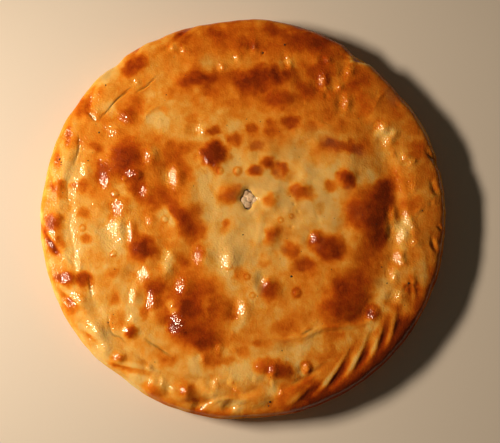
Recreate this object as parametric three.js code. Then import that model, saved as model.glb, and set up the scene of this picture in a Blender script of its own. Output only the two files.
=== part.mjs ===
// Meat chudu: a round closed pie with a crimped rim and a steam vent in its lid.
// Millimetres, +Z up. The origin is the middle of the flat underside.

import * as THREE from "three";

// Driving dimensions. An inset is measured in from the rim's edge.
const DIAMETER = 300; // across the crimped rim
const RADIUS = DIAMETER / 2;
const MIDDLE_HEIGHT = 28.2; // underside to the lid beside the vent
const LEVEL_RADIUS = 33; // the lid stays nearly level from the vent out to here
const LEVEL_HEIGHT = 28.4;
const LID_RADIUS = 75; // the lid's high ring
const LID_HEIGHT = 29;
const SLOPE_RADIUS = 105; // from here the lid goes down to the fold
const SLOPE_HEIGHT = 28.4;
const FOLD_INSET = 24; // fold where the lid tucks under the rim
const FOLD_HEIGHT = 26.4;
const CREST_INSET = 13.5; // top of the rim
const CREST_HEIGHT = 26.3;
const ROUNDING_INSET = 3.8; // where the rim begins to round over
const ROUNDING_HEIGHT = 23.8;
const SHOULDER_INSET = 0.8; // where the rounding meets the side
const SHOULDER_HEIGHT = 18.8;
const WIDEST_HEIGHT = 13; // where the side bulges furthest
const HEEL_INSET = 2.5; // where the side turns under
const HEEL_HEIGHT = 4.2;
const BASE_INSET = 10; // edge of the flat underside

// At the right and along the back the fold lies further in and the rim is broader
const FOLD_SHIFT = 9;
const FOLD_SHIFT_MIDDLE = 38; // degrees
const FOLD_SHIFT_HALF_TURN = 105; // degrees
const FOLD_SHIFT_REACH = 26; // either side of the fold

// The fold is filled up a little all round, and most on the left, where rim and lid are nearly level
const FOLD_FILL = 0.6;
const FOLD_FILL_LEFT = 1.0;
const FOLD_FILL_LEFT_MIDDLE = 180; // degrees
const FOLD_FILL_LEFT_HALF_TURN = 135; // degrees
const FOLD_FILL_REACH = 17; // either side of the fold

// Steam vent: an opening in the lid, over a well that goes down to the base crust
const VENT_MIDDLE = new THREE.Vector2(3.9, 9.3);
const VENT_RADIUS = 6;
const VENT_SIDES = 4;
const VENT_CORNER = 0.95; // how far its corners stand out
const VENT_STRETCH = 0.9; // how much further it reaches front to back than side to side
const VENT_CORNER_REACH = 22; // the corners die out in the lid by this radius
const CENTRING_RADIUS = 120; // rings of the lid move from the vent's middle to the pie's by here
const LID_THICKNESS = 3.5; // the lid's dough at the vent
const LIP_RISE = 1; // the lid's underside rises this much to the vent
const WELL_RADIUS = 10;
const BASE_THICKNESS = 4; // the base crust under the filling

// Filling in the well
const FILLING_GAP = 0.6; // filling to crust
const FILLING_DROP = 0.8; // lid beside the vent down to the highest meat
const FILLING_SHARES = [0.3, 0.6, 0.85, 1]; // rings of the mound, as shares of the vent's width
const MOUND_FLATNESS = 4; // how long the mound stays level before it falls to its edge
const LUMP_HEIGHT = 0.9;
const LUMP_SPACING = 10;
const LUMP_TURN = 0.7; // sets the lumps off from the vent's middle, in radians
const SMALL_LUMP_HEIGHT = 0.35;
const SMALL_LUMP_SPACING = 6;

// Crimps: angle in degrees where the hollow crosses the top of the rim, its depth, and the insets of its
// inner and its outer end. They lie like overlapping scales: each rises gently and then drops to the next.
// Fingers pressed the dough unevenly: hard at the lower right, hardly at the back.
const CRIMPS = [
  [2.4, 1.0, 9, 0], [12.8, 1.5, 13, 0], [22.4, 1.5, 11, 0], [39.2, 0.6, 15, 5], [60.7, 1.2, 13, 0],
  [81.7, 0.5, 14, 0], [115.7, 0.6, 18, 0], [131.7, 0.7, 15, 0], [147.7, 0.6, 18, 2], [159.7, 0.7, 18, 4],
  [167.7, 0.5, 18, 3], [176.7, 0.7, 17, 2], [193.7, 0.9, 23, 0], [210.7, 0.8, 20, 2], [224.7, 1.0, 18, 2],
  [238.7, 1.0, 22, 2], [258.7, 0.8, 18, 5], [272.0, 1.2, 17, 6], [281.7, 0.7, 18, 6], [291.5, 1.4, 19, 5],
  [299.8, 2.2, 28, 6], [308.9, 2.2, 27, 7], [317.6, 2.0, 24, 7], [325.2, 1.5, 21, 5], [337.9, 0.9, 24, 6],
  [347.4, 0.7, 19, 5], [355.7, 1.4, 14, 0],
];
const LONGEST_CRIMP = Math.max(...CRIMPS.map(([, , innerEnd]) => innerEnd));
const CRIMP_HALF_WIDTH = 5.2; // half width of the shallowest grooves along the rim
const CRIMP_WIDENING = 0.4; // more half width for each millimetre of depth
const CRIMP_TAPER = 0.4; // share of the width lost towards the inner end
const CRIMP_STEEP_SIDE = 1.1; // clockwise side of a groove, as a share of its half width
const CRIMP_EASY_SIDE = 2.3; // anticlockwise side
const CRIMP_SLANT = 0.8; // degrees that a groove turns for each millimetre towards the middle
const CRIMP_RISE = 14; // length over which a groove deepens from its inner end
const CRIMP_OUTER_RISE = 7; // length over which it ends towards the rim's edge
const CRIMP_FOOT = 10; // grooves fade out at this height on the side
const CRIMP_FOOT_FADE = 10;

// Dents in the round outline: angle and half width in degrees, depth
const DENTS = [
  [55, 5, 2.2], [42, 18, 1.4], [104, 24, 1.5], [116, 4, 1.0], [129, 6, 1.9], [172, 9, 0.8],
  [234, 9, 2.0], [275, 12, 1.2],
];
const DENT_RADIUS = 108; // dents fade out from the edge in to here

// Blisters of the lid: x and y of the middle, half length, half width, turn in degrees, rise
const BLISTERS = [
  [-21.5, 40, 10, 9, 0, 2.6],
  [-80, 37, 24, 15, 25, 2.2],
  [-70.5, -26, 12, 13, 0, 1.8],
  [-43, -1.5, 10, 20, -10, 1.4],
  [-37, -79, 24, 22, -35, 2.6],
  [-27.5, 99, 20, 6, 0, 1.6],
  [16, 100, 24, 8, 5, 2.2],
  [29.5, 82, 10, 7, 0, 1.2],
  [95, -0.5, 17, 25, -15, 2.2],
  [75.5, -67, 22, 13, 35, 2.0],
  [62, -24, 13, 9, -15, 1.8],
  [76.5, 24, 7, 7, 0, 1.8],
  [23.5, -114, 15, 8, -12, 3.4],
  [-81, -87, 6, 5, 0, 2.0],
  [-9.5, 13.5, 13, 7, 30, 1.5],
  [19.5, 7.5, 6, 7, 0, 1.6],
  [14, 34, 11, 6, 20, 1.6],
  [21.5, -15, 6, 10, -20, 1.6],
  [19.5, -56, 9, 7, 0, 1.6],
  [43, 17, 10, 5, -15, 1.2],
];
const BLISTER_FOOT = 1.4; // a blister's foot spreads to this many times its listed size

// Lobes of the rim between the crimps: x and y of the middle, half length, half width, turn in degrees, rise
const LOBES = [
  [-140, -13.5, 7, 14, 0, 1.2], [-127, -49.5, 9, 6, 0, 1.3], [-138, 17, 9, 9, 0, 0.9], [-123.5, -66, 9, 8, 0, 1.2],
  [-109, -86.5, 11, 6, -40, 1.2], [-130.5, 38.5, 8, 12, 0, 0.8], [-91, -106, 6, 5, 0, 1.2],
  [-100.5, -99, 8, 5, -40, 0.8], [-62, -127, 10, 7, -20, 2.0], [-42, -132, 11, 8, -10, 2.4],
  [-24, -138, 12, 6, 25, 1.8], [9, -136, 12, 8, 0, 1.8], [34.5, -135, 12, 9, 20, 1.8], [-78.5, -117, 10, 7, -35, 0.9],
  [-125.5, 62, 8, 11, 20, 0.8], [-102, 88.5, 12, 7, 45, 0.8], [-73.5, 109, 12, 8, 35, 0.9],
];
const LOBE_FOOT = 1.25; // a lobe's foot spreads to this many times its listed size

// Mesh sizes
const LID_STEP = 6.6; // between rings of points on the lid
const LID_POINT_STEP = 7.2; // along a ring of the lid
const RIM_STEP = 3.3; // between rings across the crimped rim
const RIM_POINTS = 312; // round each ring of the rim
const SIDE_STEP = 4.6; // between rings down the side
const SIDE_POINTS = 144; // round each ring of the side
const BASE_STEP = 24; // between rings of the flat underside
const FEWEST_POINTS = 8; // round the innermost ring of the underside
const WELL_POINTS = 24; // round the well, the vent and the filling

const CRUST_COLOUR = 0xc8792c;
const FILLING_COLOUR = 0xb98a62;

const radians = THREE.MathUtils.degToRad;
const fade = THREE.MathUtils.smoothstep;

// Signed difference of two angles in degrees, from -180 to 180
function turnBetween(a, b) {
  return THREE.MathUtils.euclideanModulo(a - b + 180, 360) - 180;
}

// A smooth hump: 1 in the middle, 0 from one half width out
function hump(distance) {
  const t = Math.min(Math.abs(distance), 1);
  return (1 - t * t) ** 2;
}

// How far the outline is dented in at an angle
function dentDepth(degrees) {
  return DENTS.reduce(
    (sum, [at, halfWidth, depth]) => sum + depth * hump(turnBetween(degrees, at) / halfWidth),
    0,
  );
}

// How far the fold's surroundings are moved in at a radius and an angle
function foldShift(radius, degrees) {
  const turn = hump(turnBetween(degrees, FOLD_SHIFT_MIDDLE) / FOLD_SHIFT_HALF_TURN);
  return FOLD_SHIFT * turn * hump((radius - (RADIUS - FOLD_INSET)) / FOLD_SHIFT_REACH);
}

// How far the fold is filled up at a radius and an angle
function foldFill(radius, degrees) {
  const left = hump(turnBetween(degrees, FOLD_FILL_LEFT_MIDDLE) / FOLD_FILL_LEFT_HALF_TURN);
  const fill = THREE.MathUtils.lerp(FOLD_FILL, FOLD_FILL_LEFT, left);
  return fill * hump((radius - (RADIUS - FOLD_INSET)) / FOLD_FILL_REACH);
}

// Depth of the crimps at an angle, an inset and a height
function crimpDepth(degrees, inset, height) {
  const across = degrees - CRIMP_SLANT * (inset - CREST_INSET);
  const footFade = fade(height, CRIMP_FOOT, CRIMP_FOOT + CRIMP_FOOT_FADE);
  const millimetresPerDegree = radians(1) * (RADIUS - inset);
  return CRIMPS.reduce((deepest, [at, depth, innerEnd, outerEnd]) => {
    const inner = 1 - fade(inset, innerEnd - CRIMP_RISE, innerEnd);
    const outer = outerEnd > 0 ? fade(inset, outerEnd, outerEnd + CRIMP_OUTER_RISE) : 1;
    const taper = 1 - CRIMP_TAPER * fade(inset, CREST_INSET, innerEnd);
    const halfWidth = (CRIMP_HALF_WIDTH + CRIMP_WIDENING * depth) * taper;
    const offset = turnBetween(across, at) * millimetresPerDegree;
    const side = offset < 0 ? CRIMP_STEEP_SIDE : CRIMP_EASY_SIDE;
    return Math.max(deepest, depth * inner * outer * footFade * hump(offset / halfWidth / side));
  }, 0);
}

// Height that listed oval swellings add at a point, each with its foot spread
function swelling(list, foot, x, y) {
  return list.reduce((sum, [atX, atY, halfLength, halfWidth, turn, rise]) => {
    const [dx, dy] = [x - atX, y - atY];
    const [c, s] = [Math.cos(radians(turn)), Math.sin(radians(turn))];
    const along = (dx * c + dy * s) / halfLength;
    const across = (dy * c - dx * s) / halfWidth;
    return sum + rise * hump(Math.hypot(along, across) / foot);
  }, 0);
}

// Radius of the vent's cornered mouth at an angle in radians
function ventRadius(angle) {
  return VENT_RADIUS + VENT_CORNER * Math.cos(VENT_SIDES * angle) - VENT_STRETCH * Math.cos(2 * angle);
}

// A ring of points: point(angle) places each one, and count sets how many there are.
// Every ring starts at angle 0 and runs anticlockwise.
function ring(count, point) {
  return Array.from({ length: count }, (_, i) => point((2 * Math.PI * i) / count));
}

// Triangles between two neighbouring rings, stepping along whichever ring lags behind
function stitch(first, second, triangles) {
  let [i, j] = [0, 0];
  const at = (r, k) => r.start + (k % r.count);
  while (i < first.count || j < second.count) {
    const stepFirst =
      j === second.count || (i < first.count && (i + 1) / first.count <= (j + 1) / second.count);
    const third = stepFirst ? at(first, i + 1) : at(second, j + 1);
    const corners = [at(first, i), at(second, j), third];
    if (new Set(corners).size === 3) triangles.push(...corners);
    if (stepFirst) i += 1;
    else j += 1;
  }
}

// A closed skin through rings in order, from one single point to another
function skin(rings) {
  const positions = [];
  const triangles = [];
  const placed = rings.map((points) => {
    const start = positions.length / 3;
    points.forEach((p) => positions.push(p.x, p.y, p.z));
    return { start, count: points.length };
  });
  placed.slice(1).forEach((next, k) => stitch(placed[k], next, triangles));
  const geometry = new THREE.BufferGeometry();
  geometry.setAttribute("position", new THREE.Float32BufferAttribute(positions, 3));
  geometry.setIndex(triangles);
  geometry.computeVertexNormals();
  return geometry;
}

// A ring of one point on the upright line through a middle
function pole(middle, height) {
  return [new THREE.Vector3(middle.x, middle.y, height)];
}

// A level ring about a middle, whose radius may depend on the angle
function levelRing(middle, radiusAt, height, count) {
  return ring(count, (angle) => {
    const radius = radiusAt(angle);
    return new THREE.Vector3(
      middle.x + radius * Math.cos(angle),
      middle.y + radius * Math.sin(angle),
      height,
    );
  });
}

// The crust's outer section, from the vent's lip over the lid and rim to the underside's edge
const section = new THREE.SplineCurve([
  new THREE.Vector2(VENT_RADIUS, MIDDLE_HEIGHT),
  new THREE.Vector2(LEVEL_RADIUS, LEVEL_HEIGHT),
  new THREE.Vector2(LID_RADIUS, LID_HEIGHT),
  new THREE.Vector2(SLOPE_RADIUS, SLOPE_HEIGHT),
  new THREE.Vector2(RADIUS - FOLD_INSET, FOLD_HEIGHT),
  new THREE.Vector2(RADIUS - CREST_INSET, CREST_HEIGHT),
  new THREE.Vector2(RADIUS - ROUNDING_INSET, ROUNDING_HEIGHT),
  new THREE.Vector2(RADIUS - SHOULDER_INSET, SHOULDER_HEIGHT),
  new THREE.Vector2(RADIUS, WIDEST_HEIGHT),
  new THREE.Vector2(RADIUS - HEEL_INSET, HEEL_HEIGHT),
  new THREE.Vector2(RADIUS - BASE_INSET, 0),
]);

// A point of the crust's outside at a place on the section, pushed in or out along the section's normal
function crustPoint(place, angle) {
  const flat = section.getPointAt(place);
  const along = section.getTangentAt(place);
  const degrees = THREE.MathUtils.radToDeg(angle);
  const onTop = fade(flat.y, WIDEST_HEIGHT, SHOULDER_HEIGHT);
  const round = flat.x - onTop * foldShift(flat.x, degrees);
  const dent = fade(flat.x, DENT_RADIUS, RADIUS) * dentDepth(degrees);
  const corner = (ventRadius(angle) - VENT_RADIUS) * (1 - fade(flat.x, VENT_RADIUS, VENT_CORNER_REACH));
  const toVent = 1 - fade(flat.x, VENT_RADIUS, CENTRING_RADIUS);
  const x = VENT_MIDDLE.x * toVent + (round - dent + corner) * Math.cos(angle);
  const y = VENT_MIDDLE.y * toVent + (round - dent + corner) * Math.sin(angle);
  const onLid = 1 - fade(flat.x, RADIUS - FOLD_INSET, RADIUS - CREST_INSET);
  const onRim = fade(flat.y, CRIMP_FOOT, SHOULDER_HEIGHT);
  const raised = onLid * swelling(BLISTERS, BLISTER_FOOT, x, y) + onRim * swelling(LOBES, LOBE_FOOT, x, y);
  const push = raised + foldFill(flat.x, degrees) - crimpDepth(degrees, RADIUS - round, flat.y);
  const outward = -along.y * push;
  return new THREE.Vector3(
    x + outward * Math.cos(angle),
    y + outward * Math.sin(angle),
    Math.max(flat.y + along.x * push, 0),
  );
}

// Step to the next ring and number of points round a ring at a point of the section: wide on the lid,
// close on the crimped rim, and wider again on the side below the crimps
function ringSizes(flat) {
  if (flat.x < RADIUS - FOLD_INSET - LID_STEP) {
    const count = Math.round((2 * Math.PI * flat.x) / LID_POINT_STEP);
    return [LID_STEP, Math.max(WELL_POINTS, count)];
  }
  return flat.y > WIDEST_HEIGHT ? [RIM_STEP, RIM_POINTS] : [SIDE_STEP, SIDE_POINTS];
}

// How far a ring's first point is turned, so that the mesh on the rim runs along the slanted crimps
function meshTurn(flat) {
  if (flat.y < WIDEST_HEIGHT) return -radians(CRIMP_SLANT * CREST_INSET) * fade(flat.y, 0, WIDEST_HEIGHT);
  const inset = RADIUS - flat.x;
  const settle = 1 - fade(inset, LONGEST_CRIMP, RADIUS - VENT_RADIUS);
  return radians(CRIMP_SLANT * (Math.min(inset, LONGEST_CRIMP) - CREST_INSET)) * settle;
}

// Rings of the crust's outside, from the vent's lip to just above the underside's edge
function outsideRings() {
  const length = section.getLength();
  const rings = [];
  let travelled = 0;
  while (travelled < length) {
    const place = travelled / length;
    const flat = section.getPointAt(place);
    const [step, count] = ringSizes(flat);
    rings.push(ring(count, (angle) => crustPoint(place, angle + meshTurn(flat))));
    travelled += step;
  }
  return rings;
}

// Rings of the flat underside, from its edge in to the middle
function undersideRings() {
  const edge = RADIUS - BASE_INSET;
  const steps = Math.ceil(edge / BASE_STEP);
  return Array.from({ length: steps }, (_, i) => {
    const radius = edge * (1 - i / steps);
    const count = Math.max(FEWEST_POINTS, Math.round(SIDE_POINTS / 2 ** i));
    return levelRing(new THREE.Vector2(), () => radius, 0, count);
  });
}

// The crust: well, vent, lid, rim, side and underside in one closed skin
function makeCrust() {
  const roof = MIDDLE_HEIGHT - LID_THICKNESS;
  const geometry = skin([
    pole(VENT_MIDDLE, BASE_THICKNESS),
    levelRing(VENT_MIDDLE, () => WELL_RADIUS, BASE_THICKNESS, WELL_POINTS),
    levelRing(VENT_MIDDLE, () => WELL_RADIUS, roof, WELL_POINTS),
    levelRing(VENT_MIDDLE, ventRadius, roof + LIP_RISE, WELL_POINTS),
    ...outsideRings(),
    ...undersideRings(),
    pole(new THREE.Vector2(), 0),
  ]);
  const crust = new THREE.Mesh(
    geometry,
    new THREE.MeshStandardMaterial({ color: CRUST_COLOUR, roughness: 0.35, metalness: 0 }),
  );
  crust.name = "crust";
  return crust;
}

// Height of the meat's lumps over the filling's mean top
function lump(x, y) {
  const wave = (2 * Math.PI) / LUMP_SPACING;
  const smallWave = (2 * Math.PI) / SMALL_LUMP_SPACING;
  return (
    LUMP_HEIGHT * Math.sin(wave * x + LUMP_TURN) * Math.cos(wave * y - LUMP_TURN) +
    SMALL_LUMP_HEIGHT * Math.sin(smallWave * (x + y))
  );
}

// The filling: a column of chopped meat that fills the well from the base crust up to the lid
function makeFilling() {
  const radius = WELL_RADIUS - FILLING_GAP;
  const roof = MIDDLE_HEIGHT - LID_THICKNESS - FILLING_GAP;
  const top = MIDDLE_HEIGHT - FILLING_DROP - LUMP_HEIGHT;
  const floor = BASE_THICKNESS + FILLING_GAP;
  const moundRing = (share) => {
    const fall = share ** MOUND_FLATNESS;
    const reach = (angle) => share * (ventRadius(angle) - FILLING_GAP);
    const level = levelRing(VENT_MIDDLE, reach, THREE.MathUtils.lerp(top, roof, fall), WELL_POINTS);
    level.forEach((p) => {
      p.z += (1 - fall) * lump(p.x - VENT_MIDDLE.x, p.y - VENT_MIDDLE.y);
    });
    return level;
  };
  const geometry = skin([
    pole(VENT_MIDDLE, top + lump(0, 0)),
    ...FILLING_SHARES.map(moundRing),
    levelRing(VENT_MIDDLE, () => radius, roof, WELL_POINTS),
    levelRing(VENT_MIDDLE, () => radius, floor, WELL_POINTS),
    pole(VENT_MIDDLE, floor),
  ]);
  const filling = new THREE.Mesh(
    geometry,
    new THREE.MeshStandardMaterial({ color: FILLING_COLOUR, roughness: 0.6, metalness: 0 }),
  );
  filling.name = "filling";
  return filling;
}

const pie = new THREE.Group();
pie.add(makeCrust(), makeFilling());

// The dents leave the outline a little off the middle, so the pie is moved to stand centred on its origin
const centre = new THREE.Box3().setFromObject(pie, true).getCenter(new THREE.Vector3());
pie.children.forEach((piece) => piece.position.set(-centre.x, -centre.y, 0));

export default pie;
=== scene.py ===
import math

import bpy
import numpy as np
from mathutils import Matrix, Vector, noise
from mathutils.bvhtree import BVHTree


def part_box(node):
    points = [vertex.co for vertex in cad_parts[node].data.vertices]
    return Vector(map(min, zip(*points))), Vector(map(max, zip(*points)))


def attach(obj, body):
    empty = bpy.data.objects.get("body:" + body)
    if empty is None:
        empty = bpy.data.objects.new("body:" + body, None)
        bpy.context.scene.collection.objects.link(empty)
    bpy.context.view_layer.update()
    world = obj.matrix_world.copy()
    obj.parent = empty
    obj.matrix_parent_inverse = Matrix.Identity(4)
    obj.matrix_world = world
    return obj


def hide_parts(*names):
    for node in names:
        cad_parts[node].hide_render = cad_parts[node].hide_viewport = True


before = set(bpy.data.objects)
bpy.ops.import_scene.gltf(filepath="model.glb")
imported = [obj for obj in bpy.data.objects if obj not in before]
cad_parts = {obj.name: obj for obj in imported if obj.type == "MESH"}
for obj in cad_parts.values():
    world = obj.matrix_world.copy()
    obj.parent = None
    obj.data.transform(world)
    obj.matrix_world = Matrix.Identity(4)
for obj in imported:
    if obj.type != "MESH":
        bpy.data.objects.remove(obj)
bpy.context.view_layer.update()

# Sizes from the frame. Lists below are in millimetres, on a pie 300 mm across.
CRUST_LOW, CRUST_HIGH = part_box("crust")
FILLING_LOW, FILLING_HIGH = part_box("filling")
DIAMETER = 300.0
RADIUS = DIAMETER / 2
METRES = (CRUST_HIGH.x - CRUST_LOW.x) / DIAMETER
VENT = np.array([3.9, 9.3])
VENT_IN_FRAME = np.array(((FILLING_LOW + FILLING_HIGH) / 2).xy) / METRES
SHIFT = VENT_IN_FRAME - VENT

# Section of the crust, radius and height, from the vent's lip over the rim to the edge of the underside
SECTION = [
    (6.0, 28.2), (33, 28.4), (75, 29), (105, 28.4), (126, 26.4), (136.5, 26.3),
    (146.2, 23.8), (149.2, 18.8), (150, 13), (147.5, 4.2), (140, 0),
]
FOLD_RADIUS = SECTION[4][0]
CREST_RADIUS = SECTION[5][0]
CREST_INSET = RADIUS - CREST_RADIUS
SHOULDER_HEIGHT = SECTION[7][1]
WIDEST_HEIGHT = SECTION[8][1]
BASE_RADIUS = SECTION[10][0]
BASE_HOLLOWS_WITHIN = 130.0
BASE_HOLLOW_DEPTH = 0.5
LIP_HEIGHT = SECTION[0][1]

# Along the back and the right the fold lies further in; on the left and at the back it is nearly level
FOLD_SHIFT = 9.0
FOLD_SHIFT_MIDDLE = 38.0
FOLD_SHIFT_HALF_TURN = 105.0
FOLD_SHIFT_REACH = 26.0
FOLD_FILL = 0.6
FOLD_FILL_LEFT = 1.0
FOLD_FILL_MIDDLE = 180.0
FOLD_FILL_HALF_TURN = 135.0
FOLD_FILL_REACH = 17.0

# At the right the rim stands up from a valley beside the lid
VALLEY_RADIUS = 112.0
VALLEY_DEPTH = 3.0
VALLEY_SLOPE = 32.0
VALLEY_WALL = 9.5
VALLEY_MIDDLE = 2.0
VALLEY_HALF_TURN = 58.0

# Steam vent and the well under it
VENT_RADIUS = SECTION[0][0]
VENT_SIDES = 4
VENT_CORNER = 0.95
VENT_STRETCH = 0.9
VENT_RAGGED = 0.25
VENT_CORNER_REACH = 22.0
CENTRING_RADIUS = 120.0
WELL_RADIUS = 10.0
WELL_FLOOR = 4.0
WELL_ROOF = LIP_HEIGHT - 3.5
MOUTH_HEIGHT = LIP_HEIGHT - 2.5
THROAT_HEIGHT = (MOUTH_HEIGHT + LIP_HEIGHT) / 2 - 0.2
LIP_ROUNDING = 3.0
LIP_DROP = 0.9

# Crimps, like overlapping scales: angle at the rim's crest in degrees, depth, insets of inner and outer end
CRIMPS = [
    (39.2, 0.6, 15, 5), (60.7, 1.2, 13, 0), (81.7, 0.5, 14, 0), (115.7, 0.6, 18, 0), (131.7, 0.7, 15, 0),
    (147.7, 0.6, 18, 2), (159.7, 0.7, 18, 4), (167.7, 0.5, 18, 3), (176.7, 0.7, 17, 2),
    (193.7, 0.9, 23, 0), (210.7, 0.8, 20, 2), (224.7, 1.0, 18, 2), (238.7, 1.0, 22, 2),
    (258.7, 0.8, 18, 5), (272.0, 1.2, 17, 6), (281.7, 0.7, 18, 6), (291.5, 1.2, 19, 5),
    (299.8, 1.5, 28, 6), (308.9, 1.5, 27, 7), (317.6, 1.4, 24, 7), (325.2, 1.2, 21, 5),
    (337.9, 0.6, 24, 6), (347.4, 0.5, 19, 5),
]
DEEPEST_CRIMP = 1.5
CRIMP_HALF_WIDTH = 5.2
CRIMP_WIDENING = 0.4
CRIMP_TAPER = 0.4
CRIMP_SLANT = 0.8
CRIMP_RISE = 14.0
CRIMP_OUTER_RISE = 7.0
CRIMP_FOOT = 10.0
CRIMP_FOOT_FADE = 10.0
CRIMP_STEEP_SIDE = 1.1
CRIMP_EASY_SIDE = 2.3
# Crimp colour: the drops, which face away from the lamp, are browner partly as painted shade, and the
# edges, which face it, are paler partly as painted light
CRIMP_BROWN_AND_SHADE = 0.50
CRIMP_PALE_AND_LIT = 0.55
CRIMP_PALE_OFFSET = 1.6
CRIMP_PALE_HALF_WIDTH = 1.1

# The rim's outer edge is browner, most of all at the near right
BELT_RADIUS = 136.0
BELT_MIDDLE = -52.0
BELT_HALF_TURN = 60.0
BELT_BROWN = 0.44
BELT_BROWN_ALL_ROUND = 0.08
BELT_DULL = 0.9
BELT_DULL_MIDDLE = 180.0
BELT_DULL_HALF_TURN = 105.0
WORN_BELOW = 19.0
GLAZED_ABOVE = 24.5

# Dents in the outline: angle and half width in degrees, depth
DENTS = [
    (55, 5, 2.2), (42, 18, 1.4), (104, 24, 1.5), (116, 3.5, 1.2), (130, 4, 1.9), (172, 9, 0.8),
    (234, 9, 2.0), (275, 12, 1.2),
]
DENT_RADIUS = 108.0

# The camera, nearly straight above
LENS = 75.0
SENSOR = 36.0
FRAME_WIDTH = 371.3
TILT = math.radians(8)
AIM = np.array([5.2, -5.2, WIDEST_HEIGHT])
AIM_IN_PICTURE = np.array([5.2, -1.1])
CAMERA_DISTANCE = FRAME_WIDTH * LENS / SENSOR

# Places below are as the camera sees them, on the plane through its aim, from the middle of the outline.
# Ovals are x, y, half length, half width, a value, and a turn in degrees where they are turned.
# Blisters: rise
BLISTERS = [
    (-22, 47, 10, 9, 2.6), (-82, 44, 24, 15, 2.2, 25), (-72, -20, 12, 13, 1.8),
    (-44, 5, 10, 20, 1.4, -10), (-38, -74, 24, 22, 2.6, -35), (-28, 105, 20, 6, 1.6),
    (16, 106, 24, 8, 2.2, 5), (30, 88, 10, 7, 1.2), (97, 6, 17, 25, 2.2, -15), (77, -62, 22, 13, 2.0, 35),
    (63, -18, 13, 9, 1.8, -15), (78, 31, 7, 7, 1.8), (24, -111, 15, 8, 3.4, -12), (-83, -83, 6, 5, 2.0),
    (-10, 20, 13, 7, 1.5, 30), (20, 14, 6, 7, 1.6), (14, 41, 11, 6, 1.6, 20), (22, -9, 6, 10, 1.6, -20),
    (20, -51, 9, 7, 1.6), (44, 24, 10, 5, 1.2, -15),
]
BLISTER_FOOT = 1.4

# Lobes of the rim between the crimps: rise, less than 0 where a finger pressed a hollow
LOBES = [
    (-142.6, -7, 7, 14, 0.9), (-129.6, -44, 9, 6, 1.3), (-118.4, -45, 6, 6, 1.0), (-140.5, 24, 9, 9, 0.6),
    (-126, -61, 9, 8, 1.2), (-111, -82, 11, 6, 1.2, -40), (-133, 46, 8, 12, 0.6), (-93, -102, 6, 5, 1.4),
    (-102.5, -95, 8, 5, 0.8, -40), (-63.5, -124, 10, 7, 2.2, -20), (-43, -128, 11, 7, 2.8, -10),
    (-22, -127, 12, 6, 2.2, -12), (9, -133, 12, 7, 2.0, 10), (35, -131, 12, 8, 1.9, 20),
    (-80, -113, 10, 7, 1.2, -35), (80, 119, 5, 3, 0.8, -40), (-128, 70, 8, 11, 0.6, 20),
    (-104, 97, 12, 7, 0.6, 45), (-75, 118, 12, 8, 0.7, 35), (-33, -138, 6, 4, -1.7, 30),
    (-10, -138.5, 6.5, 4.4, -2.3, 22),
]
LOBE_FOOT = 1.25

# Small bubbles, each with a browned ring: x, y, radius, rise
BUBBLES = [
    (-17, 36.5, 2.4, 0.9), (-4, 36.5, 2.8, 1.0), (-10.5, -34.5, 2.6, 0.9), (-119, -6, 2.2, 0.7),
    (-96, -25, 2.0, 0.8), (-58, 0.5, 2.6, 0.9), (-95, 19.5, 2.6, 0.9), (40, -54, 3.0, 1.0),
    (59, 104, 4.2, 0.6), (97, -67, 4.0, 0.3), (28, 0, 1.8, 0.6), (36, 3, 1.6, 0.6), (7, -56, 2.0, 0.6),
    (3, -42, 2.2, 0.7), (47, -109, 4.0, 0.6), (-88, 31, 2.6, 0.9), (-78, 33, 3.4, 1.0),
]
BUBBLE_RISE = 0.7
ROUND_FOOT = 1.2
RING_BROWN = 0.30
RING_WIDTH = 0.6

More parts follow.
